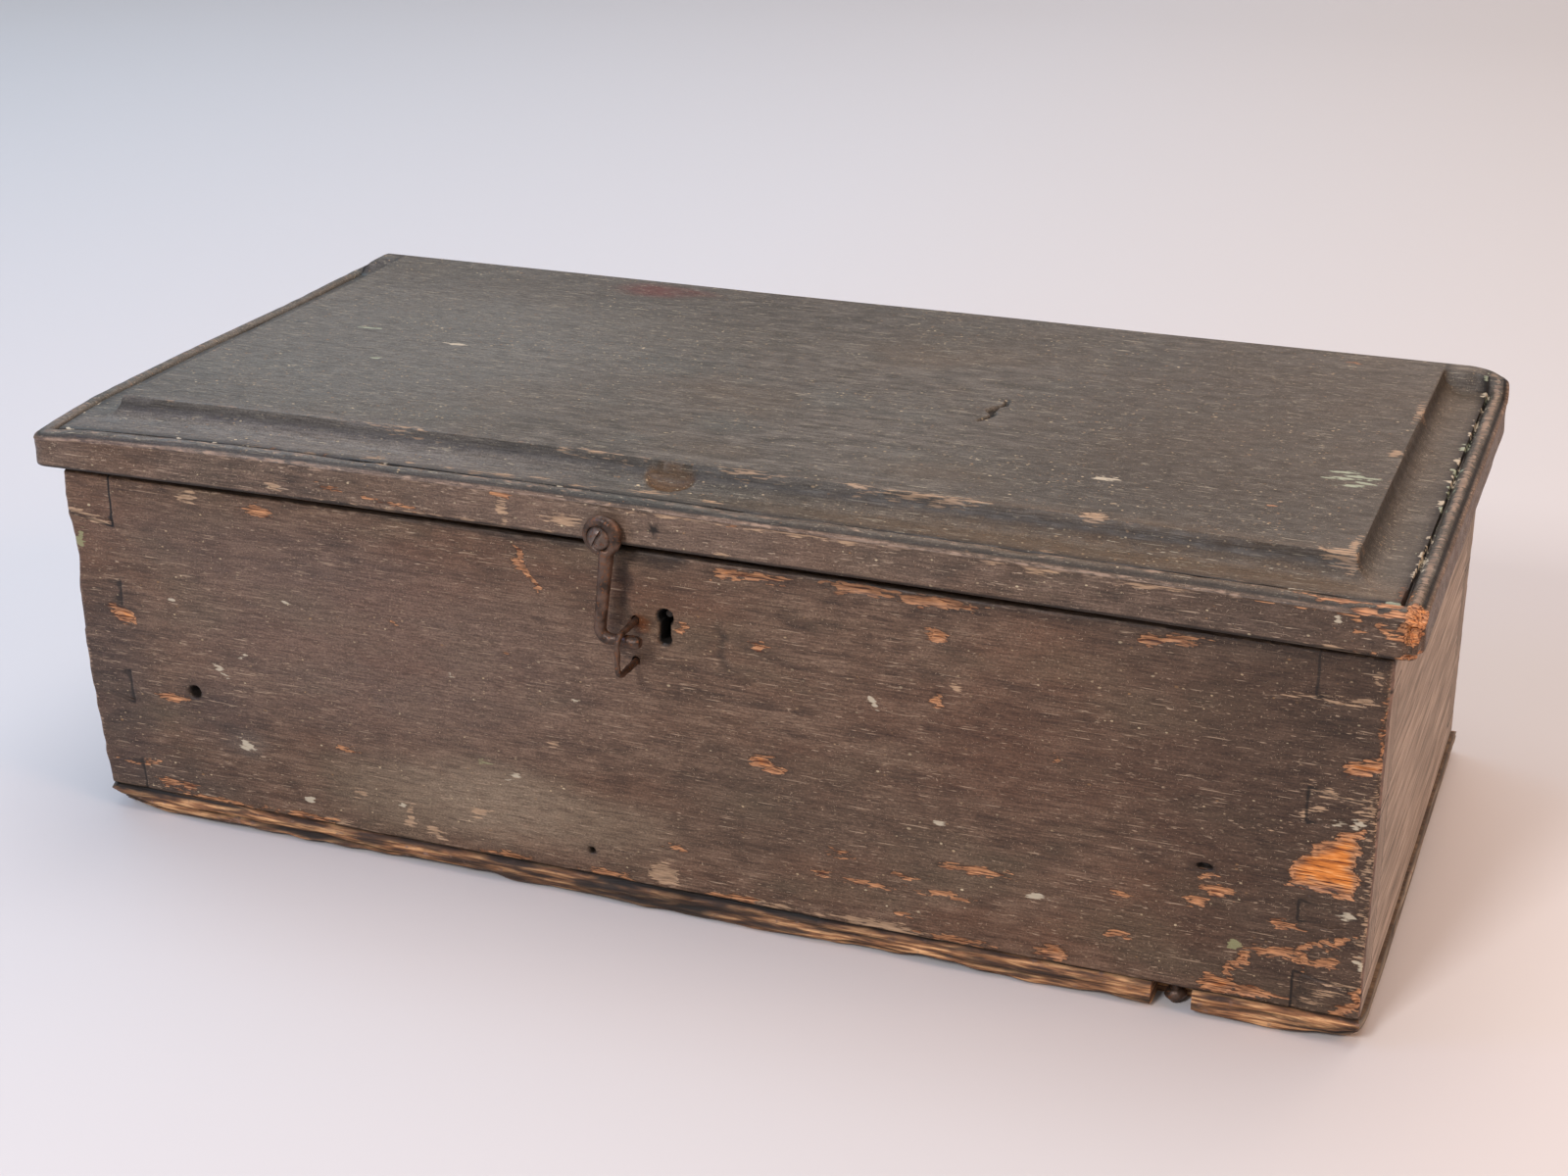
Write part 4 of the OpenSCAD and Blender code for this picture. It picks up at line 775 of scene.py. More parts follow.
head = add(tree, "GeometryNodeMeshUVSphere", {"Segments": 14, "Rings": 9, "Radius": given["Head Radius"]})
flat_by = {0: given["Head Height"], 1: given["Head Radius"]}
flat_by = add(tree, "ShaderNodeMath", flat_by, operation="DIVIDE").outputs[0]
squash = add(tree, "ShaderNodeCombineXYZ", {0: 1.0, 1: 1.0, 2: flat_by}).outputs[0]
lifted = add(tree, "ShaderNodeCombineXYZ", {2: given["Head Height"]}).outputs[0]
head = add(tree, "GeometryNodeTransform", {
    "Geometry": head.outputs[0], "Translation": lifted, "Scale": squash,
})
nail = add(tree, "GeometryNodeJoinGeometry")
tree.links.new(shank.outputs[0], nail.inputs[0])
tree.links.new(head.outputs[0], nail.inputs[0])
turned = add(tree, "FunctionNodeRandomValue", {
    "Min": (-0.03, -0.03, 0.0), "Max": (0.03, 0.03, 6.28), "Seed": given["Seed"],
}, data_type="FLOAT_VECTOR").outputs[0]
placed = add(tree, "GeometryNodeInstanceOnPoints", {
    "Points": given["Geometry"], "Instance": nail.outputs[0], "Rotation": turned,
})
whole = add(tree, "GeometryNodeRealizeInstances", {0: placed.outputs[0]})
dent_pitch, dent_depth = 2.38095, 1.2
dented = add(tree, "ShaderNodeTexNoise", {"Scale": 1 / (dent_pitch * MM)}).outputs["Color"]
dented = add(tree, "ShaderNodeVectorMath", {0: dented, 1: (0.5, 0.5, 0.5)}, operation="SUBTRACT").outputs[0]
dented = {0: dented, "Scale": dent_depth * MM}
dented = add(tree, "ShaderNodeVectorMath", dented, operation="SCALE").outputs[0]
level = add(tree, "GeometryNodeSetPosition", {"Geometry": whole.outputs[0], "Offset": dented})
coated = add(tree, "GeometryNodeSetMaterial", {"Geometry": level.outputs[0], "Material": rusty_iron})
add(tree, "NodeGroupOutput", {0: coated.outputs[0]})
spots = bpy.data.meshes.new("nail_spots")
spots.from_pydata([((low[0] + high[0]) * MM / 2, (low[1] + high[1]) * MM / 2, low[2] * MM)
                   for low, high in nail_boxes], [], [])
pattern = put("nail_spots", spots)
maker = pattern.modifiers.new("forged_nails", "NODES")
maker.node_group = tree
for label, value in nail_sizes.items():
    maker[nail_inputs[label]] = value if label == "Seed" else float(value * MM)


def settled(thing):
    """Mesh of an object after its modifiers; the object itself goes."""
    bpy.context.view_layer.update()
    mesh = bpy.data.meshes.new_from_object(thing.evaluated_get(bpy.context.evaluated_depsgraph_get()))
    bpy.data.objects.remove(thing)
    return mesh


nails = settled(pattern)
places = np.array([v.co for v in nails.vertices])
places[:, 2] = np.clip(places[:, 2], 0.0001, None)
nails.vertices.foreach_set("co", places.ravel())
nails.polygons.foreach_set("use_smooth", np.ones(len(nails.polygons), bool))
stand_in(nails, "bottom_nails")

# Lock, hinges and their screws: iron lock let into the front board, its loop under the lid, two butt hinges.
# They are machine-cut plates gone dark, and the slotted screws have worn steel heads.
# Worn steel, turned: greyer and more metallic than the wrought iron, rusty in its pits
steel_screw = old_iron("worn_steel_screw", "#3a302b", "#75655b", "#6d4128", 0.3, 0.6, 0.34)
# Plate iron, rolled and cut: near black and duller, with a few specks of rust
lock_iron = old_iron("lock_iron", "#201d1b", "#3a3530", "#4f3524", 0.3, 0.45, 0.44)
for node, slot in slot_of.items():
    finish = {"rusty_iron": rusty_iron, "steel_screw": steel_screw, "lock_iron": lock_iron}.get(slot)
    if finish:
        piece = frame["nodes"][node]
        piece.data.materials.clear()
        piece.data.materials.append(finish)


# Staple: thin iron wire bent square, its two legs driven into the front board.
# It is rusted brown, thinnest at its front bar, and the hook's arm goes through it.
def rod(mesh, path, radii, across, sides=14):
    """Adds a round bar along a flat path in mm, with a radius at each point; across is square to the path."""
    path, across = np.array(path, float), np.array(across, float)
    along = np.gradient(path, axis=0)
    along /= np.linalg.norm(along, axis=1)[:, None]
    rings = []
    for at, way, radius in zip(path, along, np.broadcast_to(radii, len(path))):
        side = np.cross(way, across)
        turn = np.linspace(0, 2 * np.pi, sides, endpoint=False)
        ring = at + radius * (np.cos(turn)[:, None] * across + np.sin(turn)[:, None] * side)
        rings.append([mesh.verts.new(co) for co in ring])
    for one, two in zip(rings[:-1], rings[1:]):
        for i in range(sides):
            mesh.faces.new((one[i], one[(i + 1) % sides], two[(i + 1) % sides], two[i]))
    mesh.faces.new(rings[0][::-1])
    mesh.faces.new(rings[-1])


def forged(name, bars, voxel, hammered):
    """One closed skin over overlapping bars, softened in the corners and dented by the hammer, all in mm."""
    bmesh.ops.recalc_face_normals(bars, faces=bars.faces)
    blank = put(name, as_mesh(bars, name))
    skin_over = blank.modifiers.new("skin", "REMESH")
    skin_over.mode = "VOXEL"
    skin_over.voxel_size = voxel
    soften = blank.modifiers.new("soften", "SMOOTH")
    soften.iterations = 6
    work = settled(blank)
    places = np.array([v.co for v in work.vertices])
    outward = np.array([v.normal for v in work.vertices])
    dent = hammered * (wander(places, (2.2, 2.2, 2.2), 81) + 0.5 * wander(places, (0.9, 0.9, 0.9), 82))
    work.vertices.foreach_set("co", ((places + outward * dent[:, None]) * MM).ravel())
    work.polygons.foreach_set("use_smooth", np.ones(len(work.polygons), bool))
    work.update()
    return work


def bend(centre, radius, start, stop, axes, count=9):
    """Points on an arc between two angles in degrees; axes are the two axes that it lies in."""
    points = np.tile(np.array(centre, float), (count, 1))
    angle = np.radians(np.linspace(start, stop, count))
    points[:, axes[0]] += radius * np.cos(angle)
    points[:, axes[1]] += radius * np.sin(angle)
    return points


staple_low, staple_high = corners("hook_staple")
wire = 1.2
staple_x = (staple_low[0] + staple_high[0]) / 2
bar_y = staple_low[1] + wire
leg_z = staple_low[2] + wire - 0.4, staple_high[2] - wire - 0.5
knee = 3.0
path = np.concatenate([
    [(staple_x, staple_high[1] - 0.2, leg_z[1]), (staple_x, bar_y + 2 * knee, leg_z[1])],
    bend((staple_x, bar_y + knee, leg_z[1] - knee), knee, 90, 180, (1, 2)),
    bend((staple_x, bar_y + knee, leg_z[0] + knee), knee, 180, 270, (1, 2)),
    [(staple_x, bar_y + 2 * knee, leg_z[0]), (staple_x, staple_high[1] - 0.2, leg_z[0])],
])
bars = bmesh.new()
rod(bars, path, np.interp(path[:, 1], [bar_y, box_low[1]], [0.8, 1.15]), (1, 0, 0), 12)
staple = forged("staple", bars, 0.22, 0.1)
staple.materials.append(rusty_iron)
stand_in(staple, "hook_staple")

# Lid: one wide pine board, a bead, a quirk and a cove planed along its front and ends round a raised field.
# It carries greenish grey paint, rubbed to tan on the bead and the arrises, with a thumb scoop at the front.
lid_low, lid_high = corners("lid_board")
lid_t = lid_high[2] - lid_low[2]
face_h = 11.7
bead_start, bead_end, bead_rise = 1.1, 5.5, 1.5
quirk_end, quirk_depth, cove_floor, field_inset = 6.3, 0.9, 12.4, 19.7
cove_r = lid_t - cove_floor
moulding_stop, corner_run, left_fall, right_fall = 8, 12, 6.5, 1.5
scoop_at, scoop_half, scoop_depth = (-4.4, 20.4), (7.3, 4.1), 2.3

# Section of the moulding: height above the lid's underside against the distance in from the edge
bead_mid, bead_half = (bead_start + bead_end) / 2, (bead_end - bead_start) / 2
bead_r = (bead_half ** 2 + bead_rise ** 2) / (2 * bead_rise)
inset = np.linspace(0, 24, 481)
arris_r = 0.9
section = np.full(len(inset), face_h)
section -= arris_r - np.sqrt(np.clip(arris_r ** 2 - np.clip(arris_r - inset, 0, None) ** 2, 0, None))
on_bead = np.abs(inset - bead_mid) < bead_half
section[on_bead] = face_h + bead_rise - bead_r + np.sqrt(bead_r ** 2 - (inset[on_bead] - bead_mid) ** 2)
section[(inset >= bead_end) & (inset < quirk_end)] = face_h - quirk_depth
in_cove = (inset >= quirk_end) & (inset < field_inset)
from_wall = np.clip(inset - (field_inset - cove_r), 0, cove_r)
section[in_cove] = (cove_floor + cove_r - np.sqrt(cove_r ** 2 - from_wall ** 2))[in_cove]
section[inset >= field_inset] = lid_t
soften = np.hanning(11) / np.hanning(11).sum()
section = np.convolve(np.pad(section, 5, mode="edge"), soften, mode="valid")

# Grid of the top: close lines across the moulding, wide ones over the field, a few more round the crack
rows = np.array([
    0, 0.2, 0.45, 0.8, 1.2, 1.6, 2.1, 2.7, 3.3, 3.9, 4.5, 5, 5.4, 5.6, 5.9, 6.2, 6.5, 7, 8, 9.4, 11, 12.6, 14,
    15.2, 16.4, 17.4, 18.2, 18.8, 19.3, 19.7, 20.1, 20.6, 21.4,
])
crack = np.array([(61.8, -13), (63.4, -9.5), (64.6, -6), (62.6, -2.5), (63.2, 1), (65.4, 3.5), (64.6, 8.5)])
back_rows = np.array([0, 0.25, 0.6, 1.1, 1.8, 3, 4.5, 6, 7, 8, 9, 10.5, 12])
grid_x = np.concatenate([
    lid_low[0] + rows,
    spaced(lid_low[0] + rows[-1], lid_high[0] - rows[-1], 1.9, np.arange(60, 67.5, 0.35),
           np.arange(-12.5, 4, 0.6), np.arange(-91, -66, 1.1), np.arange(160, 177, 0.9)),
    lid_high[0] - rows[::-1],
])
grid_y = np.concatenate([
    lid_low[1] + rows,
    spaced(lid_low[1] + rows[-1], lid_high[1] - back_rows[-1], 1.9, np.arange(-31, 11, 0.8),
           np.arange(74, 85, 0.9)),
    lid_high[1] - back_rows[::-1],
])
x, y = [g.ravel() for g in np.meshgrid(grid_x, grid_y)]
from_left, from_right = x - lid_low[0], lid_high[0] - x
from_front, from_back = y - lid_low[1], lid_high[1] - y
flat = np.stack([x, y, np.full(len(x), 0.0)], axis=1)
end_inset = np.minimum(from_left, from_right)
band = np.minimum(end_inset, from_front)
waver = 0.35 * wander(flat, (26, 26, 9), 61) * ease(band, 0.5, 4)
top = np.interp(np.clip(band + waver, 0, 24), inset, section)
bead_worn = 0.55 * ease(wander(flat, (16, 16, 9), 62), 0.0, 0.8) + 0.25 * wander(flat, (5, 5, 5), 63)
top -= np.clip(bead_worn, 0, 1) * np.exp(-((band - bead_mid) / 1.6) ** 2)

# The end mouldings stop short of the back, where both corners are worn down
fall = np.where(x < 0, left_fall, right_fall) * np.clip(1 - end_inset / corner_run, 0, 1)
back_r = 1.4
off_arris = np.clip(back_r - np.minimum(end_inset, from_back), 0, None)
arris_b = back_r - np.sqrt(np.clip(back_r ** 2 - off_arris ** 2, 0, None))
block = lid_t - fall - arris_b
held = ease(-(from_back + 2.0 * wander(flat, (7, 7, 7), 64)), -moulding_stop - 1.6, -moulding_stop + 1.2)
top = np.where(from_front > 40, top * (1 - held) + block * held, top)

# Thumb scoop, jagged crack, dents, and the lost front right corner
slant = 0.38 * from_front + 0.92 * top
scoop_off = np.hypot((x - scoop_at[0]) / scoop_half[0], (slant - scoop_at[1]) / scoop_half[1])
in_scoop = (scoop_off < 1) & (from_front < 30)
top -= scoop_depth * in_scoop * np.clip(1 - scoop_off ** 2, 0, 1) ** 0.6
crack_x = np.interp(y, crack[:, 1], crack[:, 0])
crack_open = ease(y, crack[0, 1] - 0.5, crack[0, 1] + 2) * ease(-y, -crack[-1, 1] - 0.5, -crack[-1, 1] + 2)
crack_off = (x - crack_x) * (0.7 - 0.36 * np.exp(-((y + 2) / 4) ** 2))
top -= 1.6 * crack_open * ease(-np.abs(crack_off), -0.7, -0.1)
dents = [
    (-65.2, -74, 5, 3, 0), (-171.2, 6.5, 2.5, 1.2, 0), (-130, -59.2, 3, 1.4, 0),
    (-56.2, 24.4, 2.4, 1.2, 0), (-48.4, 55, 3, 1.3, 0), (5.3, 4.9, 2.4, 1.4, 0), (112.2, -75.4, 4, 2.4, 0),
    (174.4, -74, 5, 4, 0),
]
dent = marked(x, y, dents)
top -= 0.5 * ease(dent, -0.5, 1.6)
broken = 6.5 - np.hypot(from_right, from_front * 0.8) + 2.6 * wander(flat, (2.6, 2.6, 3), 65)
split = 2.2 - 0.16 * from_right - np.abs(from_front - 0.6) + 1.4 * wander(flat, (3.4, 2, 3), 70)
broken = np.maximum(broken, split)
top -= 0.32 * np.clip(broken, 0, 6)
top += 0.16 * wander(flat, (60, 44, 9), 66) + 0.03 * wander(flat, (30, 6, 9), 67)

# Rounded corners in plan, a slight bow along the front, and the worn round lower arris
def rounded(x, y, low, high, less=0):
    """Plan of the lid with its four corners drawn in to arcs; the front left one is out of square."""
    plan_x, plan_y = x.copy(), y.copy()
    for side_x, side_y, r in ((-1, -1, 5), (1, -1, 4.5), (-1, 1, 10), (1, 1, 10)):
        r = r - less
        centre_x = (high[0] if side_x > 0 else low[0]) - side_x * r
        centre_y = (high[1] if side_y > 0 else low[1]) - side_y * r
        dx, dy = (x - centre_x) * side_x, (y - centre_y) * side_y
        inside = (dx > 0) & (dy > 0)
        shrink = np.maximum(dx, dy) / np.maximum(np.hypot(dx, dy), 1e-9)
        plan_x = np.where(inside, centre_x + side_x * dx * shrink, plan_x)
        plan_y = np.where(inside, centre_y + side_y * dy * shrink, plan_y)
    skew = 2.2 * np.clip(1 - (x - lid_low[0]) / 60, 0, 1) * np.clip(1 - (y - lid_low[1]) / 150, 0, 1)
    return plan_x - skew, plan_y


plan_x, plan_y = rounded(x, y, lid_low, lid_high)
bow = 1.4 * (1 - (plan_x / 200) ** 2) * np.clip(1 - from_front / 150, 0, 1)
droop = 2.4 * np.clip(1 - from_left / 75, 0, 1) ** 2 * np.clip(1 - from_front / 30, 0, 1)
top = top - droop
wide, deep = len(grid_x), len(grid_y)
index = np.arange(wide * deep).reshape(deep, wide)
loop = np.concatenate([index[0, :], index[1:, -1], index[-1, -2::-1], index[-2:0:-1, 0]])
levels = np.array([0.96, 0.9, 0.83, 0.75, 0.67, 0.59, 0.51, 0.43, 0.35, 0.28, 0.21, 0.15, 0.1, 0.05])
two_lobes = np.interp(levels, [0, 0.12, 0.26, 0.36, 0.5, 1], [0, 0.7, -1.6, -1.6, 0.4, 0.5])
lid_points = [np.stack([plan_x, plan_y, lid_low[2] + bow + top], axis=1)]
edge_plan = np.stack([plan_x[loop], plan_y[loop]], axis=1)
nudge = np.zeros((len(loop), 2))
nudge[:, 0] = np.where(from_left[loop] < 0.01, 1, np.where(from_right[loop] < 0.01, -1, 0))
nudge[:, 1] = np.where(from_front[loop] < 0.01, 1, np.where(from_back[loop] < 0.01, -1, 0))
broken_rings = []
under_r = 1.5
for level, lobe in zip(levels, two_lobes):
    height = level * top[loop]
    tuck = under_r - np.sqrt(np.clip(under_r ** 2 - np.clip(under_r - height, 0, None) ** 2, 0, None))
    at = np.stack([edge_plan[:, 0], edge_plan[:, 1], height], axis=1)
    tuck = tuck + 0.2 + 0.2 * wander(at, (40, 40, 3), 68) + 0.15 * wander(at, (9, 9, 2), 69)
    gone = np.minimum(broken[loop], 2.4) - 1.4 + 2.2 * lobe + 1.1 * wander(at, (2, 2, 1.6), 79)
    broken_rings.append(gone)
    tuck = tuck + 0.3 * np.clip(gone, 0, 4) + 0.35 * np.clip(broken[loop], 0, 3)
    ring = edge_plan + nudge * tuck[:, None]
    lid_points.append(np.stack([ring[:, 0], ring[:, 1], lid_low[2] + bow[loop] + height], axis=1))
tucked = 1.7
reach = rows[-1]
bed = [
    np.interp(value, [low, low + reach, high - reach, high],
              [low + tucked, low + reach, high - reach, high - tucked])
    for value, low, high in ((x, lid_low[0], lid_high[0]), (y, lid_low[1], lid_high[1]))
]
bed = rounded(bed[0], bed[1], lid_low + tucked, lid_high - tucked, tucked)
bed_x = np.unique(np.append(np.arange(0, wide, 6), wide - 1))
bed_y = np.unique(np.append(np.arange(0, deep, 6), deep - 1))
kept = index[np.ix_(bed_y, bed_x)]
lid_points.append(np.column_stack([bed[0], bed[1], lid_low[2] + bow])[kept.ravel()])
first = wide * deep
rings = [loop] + [first + i * len(loop) + np.arange(len(loop)) for i in range(len(levels))]
under = first + len(levels) * len(loop)
bed_at = np.full(first, -1)
bed_at[kept.ravel()] = under + np.arange(kept.size)


def quads(grid):
    """Faces of a grid of point numbers, seen from above."""
    four = grid[:-1, :-1], grid[:-1, 1:], grid[1:, 1:], grid[1:, :-1]
    return list(zip(*[corner.ravel() for corner in four]))


lid_faces = quads(index)
for upper, lower in zip(rings[:-1], rings[1:]):
    lid_faces += list(zip(upper, lower, np.roll(lower, -1), np.roll(upper, -1)))
stops = np.flatnonzero(bed_at[loop] >= 0)
for start, stop in zip(stops, np.append(stops[1:], len(loop))):
    run = np.arange(start, stop + 1) % len(loop)
    lid_faces.append((bed_at[loop[run[0]]], bed_at[loop[run[-1]]], *rings[-1][run][::-1]))
lid_faces += [face[::-1] for face in quads(bed_at[kept])]
points = np.concatenate(lid_points)
board = bpy.data.meshes.new("lid_board")
board.from_pydata((points * MM).tolist(), [], [tuple(int(i) for i in f) for f in lid_faces])

# Wear of the lid: on the top by inset from the edges, on the front edge by height
many = len(points)
is_top = np.arange(many) < first
is_edge = (np.arange(many) >= first) & (np.arange(many) < under)
px, py, pz = points.T
inset_all = np.full(many, 30.0)
inset_all[:first] = band
front_edge = is_edge & (py < lid_low[1] + 3)
lid_wobble_x = px + 1.2 * wander(points, (4, 4, 4), 71)
lid_wobble_y = py + 0.6 * wander(points, (5, 1.5, 5), 72)
lid_wobble_z = pz + 0.5 * wander(points, (5, 5, 1.3), 73)
along = wander(points, (15, 15, 30), 74) + 0.6 * wander(points, (5, 5, 30), 75)

# Paint rubbed off the bead, the outer arris and the field's edge, and a painted highlight on the bead's crest
# at the right end: (distance in, half width, how much)
right_end = px > 185
rub_and_highlight = np.where(is_edge, 0.6 * np.exp(-((lid_low[2] + face_h - pz) / 1.2) ** 2), 0)
for middle, half, amount in (
    (bead_mid, 1.5, 0.62 * (0.75 + 0.4 * along)), (0.3, 0.8, 0.8 * (0.8 + 0.3 * along)),
    # Painted highlight on the right end's bead crest
    (bead_mid, 1.0, 0.5 * right_end), (field_inset + 0.5, 0.7, 0.5 * (0.6 + 0.7 * along)),
):
    rub_and_highlight = rub_and_highlight + amount * np.exp(-((inset_all - middle) / half) ** 2)

# Painted shade in the hollows of the moulding, with some dirt, told the same way: dark lines in the quirk and
# the grooves, a painted shadow under the field's edge, and more at the right end to bring out the bead
dirt_and_shade = np.zeros(many)
for middle, half, amount in (
    (5.95, 0.45, 0.9), (19.1, 0.6, 0.5), (7, 1.5, 0.5), (1.35, 0.5, 0.7), (18.2, 1.3, 0.22),
    (6.6, 1.1, 0.5 * right_end), (1.3, 0.7, 0.5 * right_end),
):
    dirt_and_shade = dirt_and_shade + amount * np.exp(-((inset_all - middle) / half) ** 2)
seam, open_seam = np.full(many, 9.0), np.zeros(many)
seam[:first], open_seam[:first] = crack_off, crack_open * (np.abs(crack_off) < 3)
scoop_all = np.zeros(many)
scoop_all[:first] = ease(1 - scoop_off, -0.12, 0.12) * (from_front < 30)
dirt_and_shade = dirt_and_shade * (1 - scoop_all) + 0.12 * scoop_all
# Painted shade: the edge's lowest rings darkened for the gap under the lid
ring_no = (np.arange(many) - first) // len(loop)
dirt_and_shade = np.where(is_edge & (ring_no >= len(levels) - 2), 0.85, dirt_and_shade)
star_x, star_z = px + 1.6, pz - 118.4
star = np.hypot(star_x, star_z) * (1 + 0.3 * np.sin(5 * np.arctan2(star_z, star_x)))
dirt_and_shade = np.where(front_edge, np.maximum(dirt_and_shade, np.exp(-(star / 1.5) ** 4)), dirt_and_shade)
top_new = [
    (153, 81, 2, 0.8, 0), (154.3, -51.5, 1.6, 0.7, 0), (-83, -91, 2, 0.8, 0), (-105, -90.4, 1.4, 1.4, 0),
    (-122, -90.6, 1.4, 1, 0), (176, -94, 7, 1, 0), (192, -84, 1.2, 5, 0), (190, -93, 3, 1.2, 0),
]
top_old = [
    (112.2, -75.4, 3, 1.6, 0), (176.2, 1.5, 1.6, 3, 0), (174.4, -75.5, 4, 1.6, 0), (-87, -76.4, 4, 0.5, 0),
    (-25, -76.4, 5, 0.5, 0), (18, -76.4, 4, 0.4, 0), (49, -76.4, 3, 0.5, 0), (70, -76.4, 9, 0.8, 0),
    (177.4, -72, 1, 5, 0), (177.6, 40, 0.9, 6, 0), (158, -91, 9, 0.8, 0), (170, -91.4, 6, 0.9, 0),
    (-126.5, -89.6, 1.2, 1.2, 0), (-108.6, -90.6, 1.6, 1.2, 0), (-91.4, -87.7, 3, 1, 0),
    (-85.4, -92, 1.6, 1.4, 0), (-79.8, -87.7, 1.4, 0.8, 0), (-66.4, -87.9, 1.2, 0.7, 0),
    (-58.5, -88.5, 1.8, 0.9, 0), (-50.3, -87.8, 3, 1.1, 0), (-39.8, -86.6, 2.2, 0.8, 0),
    (-27, -87.9, 1.2, 0.8, 0), (-23.5, -87.3, 0.9, 0.7, 0), (-7.8, -86.4, 4, 0.9, 0),
    (10.6, -86.7, 2.2, 0.8, 0), (105, -89, 2, 0.7, 0),
]
top_pale = [
    (108, -46.9, 3, 1.6, 0), (-111, 1.6, 3, 0.9, 0), (71.6, -45.9, 0.8, 0.7, 0),
    (116.3, 16.1, 0.8, 0.7, 0),
]
top_green = [
    (165.5, -18.5, 3.6, 1, 0.15), (171, -21, 3.6, 1, -0.1), (166.5, -23.6, 4, 1.1, 0.1),
    (172, -25.6, 3, 1, -0.1), (168.5, -28.4, 4, 1, 0.05), (-146, 8, 3, 0.7, 0.2), (-128, -20, 2, 0.6, 0),
]
edge_new = [
    (-89, 116.3, 9, 0.4, -0.11), (184, 122.8, 8, 0.8, 0), (170, 122.8, 6, 0.9, 0), (-46.7, 123, 3, 1.2, 0),
    (20.7, 123.6, 2.6, 1, 0), (161.3, 123, 4, 1.2, 0),
]
edge_old = [
    (-60, 113.2, 20, 0.5, 0), (-118, 115.4, 2.2, 1.6, 0), (-28, 117.6, 5, 1.4, 0), (53, 122.8, 3, 1, 0),
    (103.4, 121.8, 4, 1, 0), (130, 121.8, 4, 1, 0), (-46.5, 118, 1, 5, 0), (176.2, 111.8, 4, 1, 0),
    (17.9, 113.8, 1.8, 1, 0), (92, 122.6, 2, 0.8, 0), (138, 122.2, 5, 0.7, 0), (40, 122.8, 9, 0.6, 0),
    (2, 123, 8, 0.5, 0),
]
edge_pale = [(178.9, 120.1, 1, 0.9, 0)]


def on_lid(top_marks, edge_marks):
    """Marks on the lid's top, by x and y, and on its front edge, by x and z."""
    field = np.where(is_top & (inset_all > 1), marked(lid_wobble_x, lid_wobble_y, top_marks), -FAR)
    return np.where(front_edge, marked(lid_wobble_x, lid_wobble_z, edge_marks), field)


broken_all = np.full(many, -FAR)
broken_all[:first] = np.clip(broken, -FAR, 1.6)
broken_all[first:under] = np.clip(np.concatenate(broken_rings), -FAR, 1.6)
dirt_and_shade *= 1 - ease(broken_all, -0.4, 0.4)

# Flecks in the quirk, along the front at the left and all along the right end, and the scoop's brown wood
quirk_dust = 1.9 * wander(points, (2.4, 2.4, 2.4), 85) + 0.5 * wander(points, (30, 30, 30), 86) - 1.0
quirk_dust += 0.7 * right_end
mossy = (px > 150) & (wander(points, (5, 5, 5), 87) > 0)
quirk_dust -= 0.8 * np.abs(inset_all - 6.3) + 0.4 * ease(px, -50, -20) * ease(-px, -192, -180)
# Stains on the lid's top, and painted light: the pale patch over the left half and the pale strip along the
# front at the left paint the stronger light there
lid_stains_and_shading = [
    (-79, 80, 11, 6, 0, "#86342c", 1.0), (-66, 81.5, 8, 3.4, 0, "#7c463e", 0.8),
    (-60, 40, 60, 16, 0, "#6b665a", 0.35), (-130, 0, 70, 80, 0, "#8a8b85", 0.65),
    (-110, -85, 80, 9, 0, "#96918b", 0.65), (140, 0, 60, 90, 0, "#544b40", 0.65),
    (0, 74, 150, 22, 0, "#55524b", 0.4), (130, -52, 50, 26, 0, "#463e34", 0.35),
    (120, -86, 90, 10, 0, "#75614b", 0.75),
]
blotch_tint = stained_and_shaded(lid_wobble_x, lid_wobble_y, lid_stains_and_shading)
edge_stains = [(-10, 117, 60, 20, 0, "#947c6b", 0.5), (170, 117, 40, 20, 0, "#5a4a3f", 0.5)]
blotch_tint[~is_top] = stained_and_shaded(px, pz, edge_stains)[~is_top]
blotch_tint[scoop_all > 0.01, :3] = linear("#7a6044")[:3]
blotch_tint[:, 3] = np.maximum(blotch_tint[:, 3] * (1 - scoop_all), 0.9 * scoop_all)
lid_wear = {
    "fresh_wood": np.maximum(on_lid(top_new, edge_new), broken_all),
    "green_fleck": np.maximum(on_lid(top_green, []), np.where(is_top & mossy, quirk_dust, -FAR)),
    "old_wood": on_lid(top_old, edge_old),
    "pale_fleck": np.maximum(on_lid(top_pale, edge_pale), np.where(is_top & ~mossy, quirk_dust, -FAR)),
    "blotch_tint": blotch_tint,
    "rub_and_highlight": np.clip(rub_and_highlight, 0, 1),
    "dirt_and_shade": np.clip(dirt_and_shade, 0, 1),
    "seam": seam,
    "open_seam": open_seam,
}
# Old grey-green paint, brushed on pine: a dull satin skin, thick with pale flecks
grey_paint = old_paint("worn_grey_green_paint", "#57544b", "#6f6a61", "#888379", "#736655", "#696d67",
                       "#a39a85", "#a2aa90", 0.5)
# The same paint worn thin on the lid's edge: browner, because the wood shows through
edge_paint = old_paint("worn_lid_edge_paint", "#5f5044", "#7f6a5a", "#9c8472", "#84644c", "#796b5a",
                       "#b29c84", "#a2aa90", 0.2)
counts = np.array([(wide - 1) * (deep - 1), (len(rings) - 1) * len(loop) + len(stops),
                   (kept.shape[0] - 1) * (kept.shape[1] - 1)])
skins = np.repeat([0, 1, 2], counts)
face_band = band[np.array(lid_faces[: counts[0]])].mean(axis=1)
skins[: counts[0]] = np.where(face_band < bead_start, 1, 0)
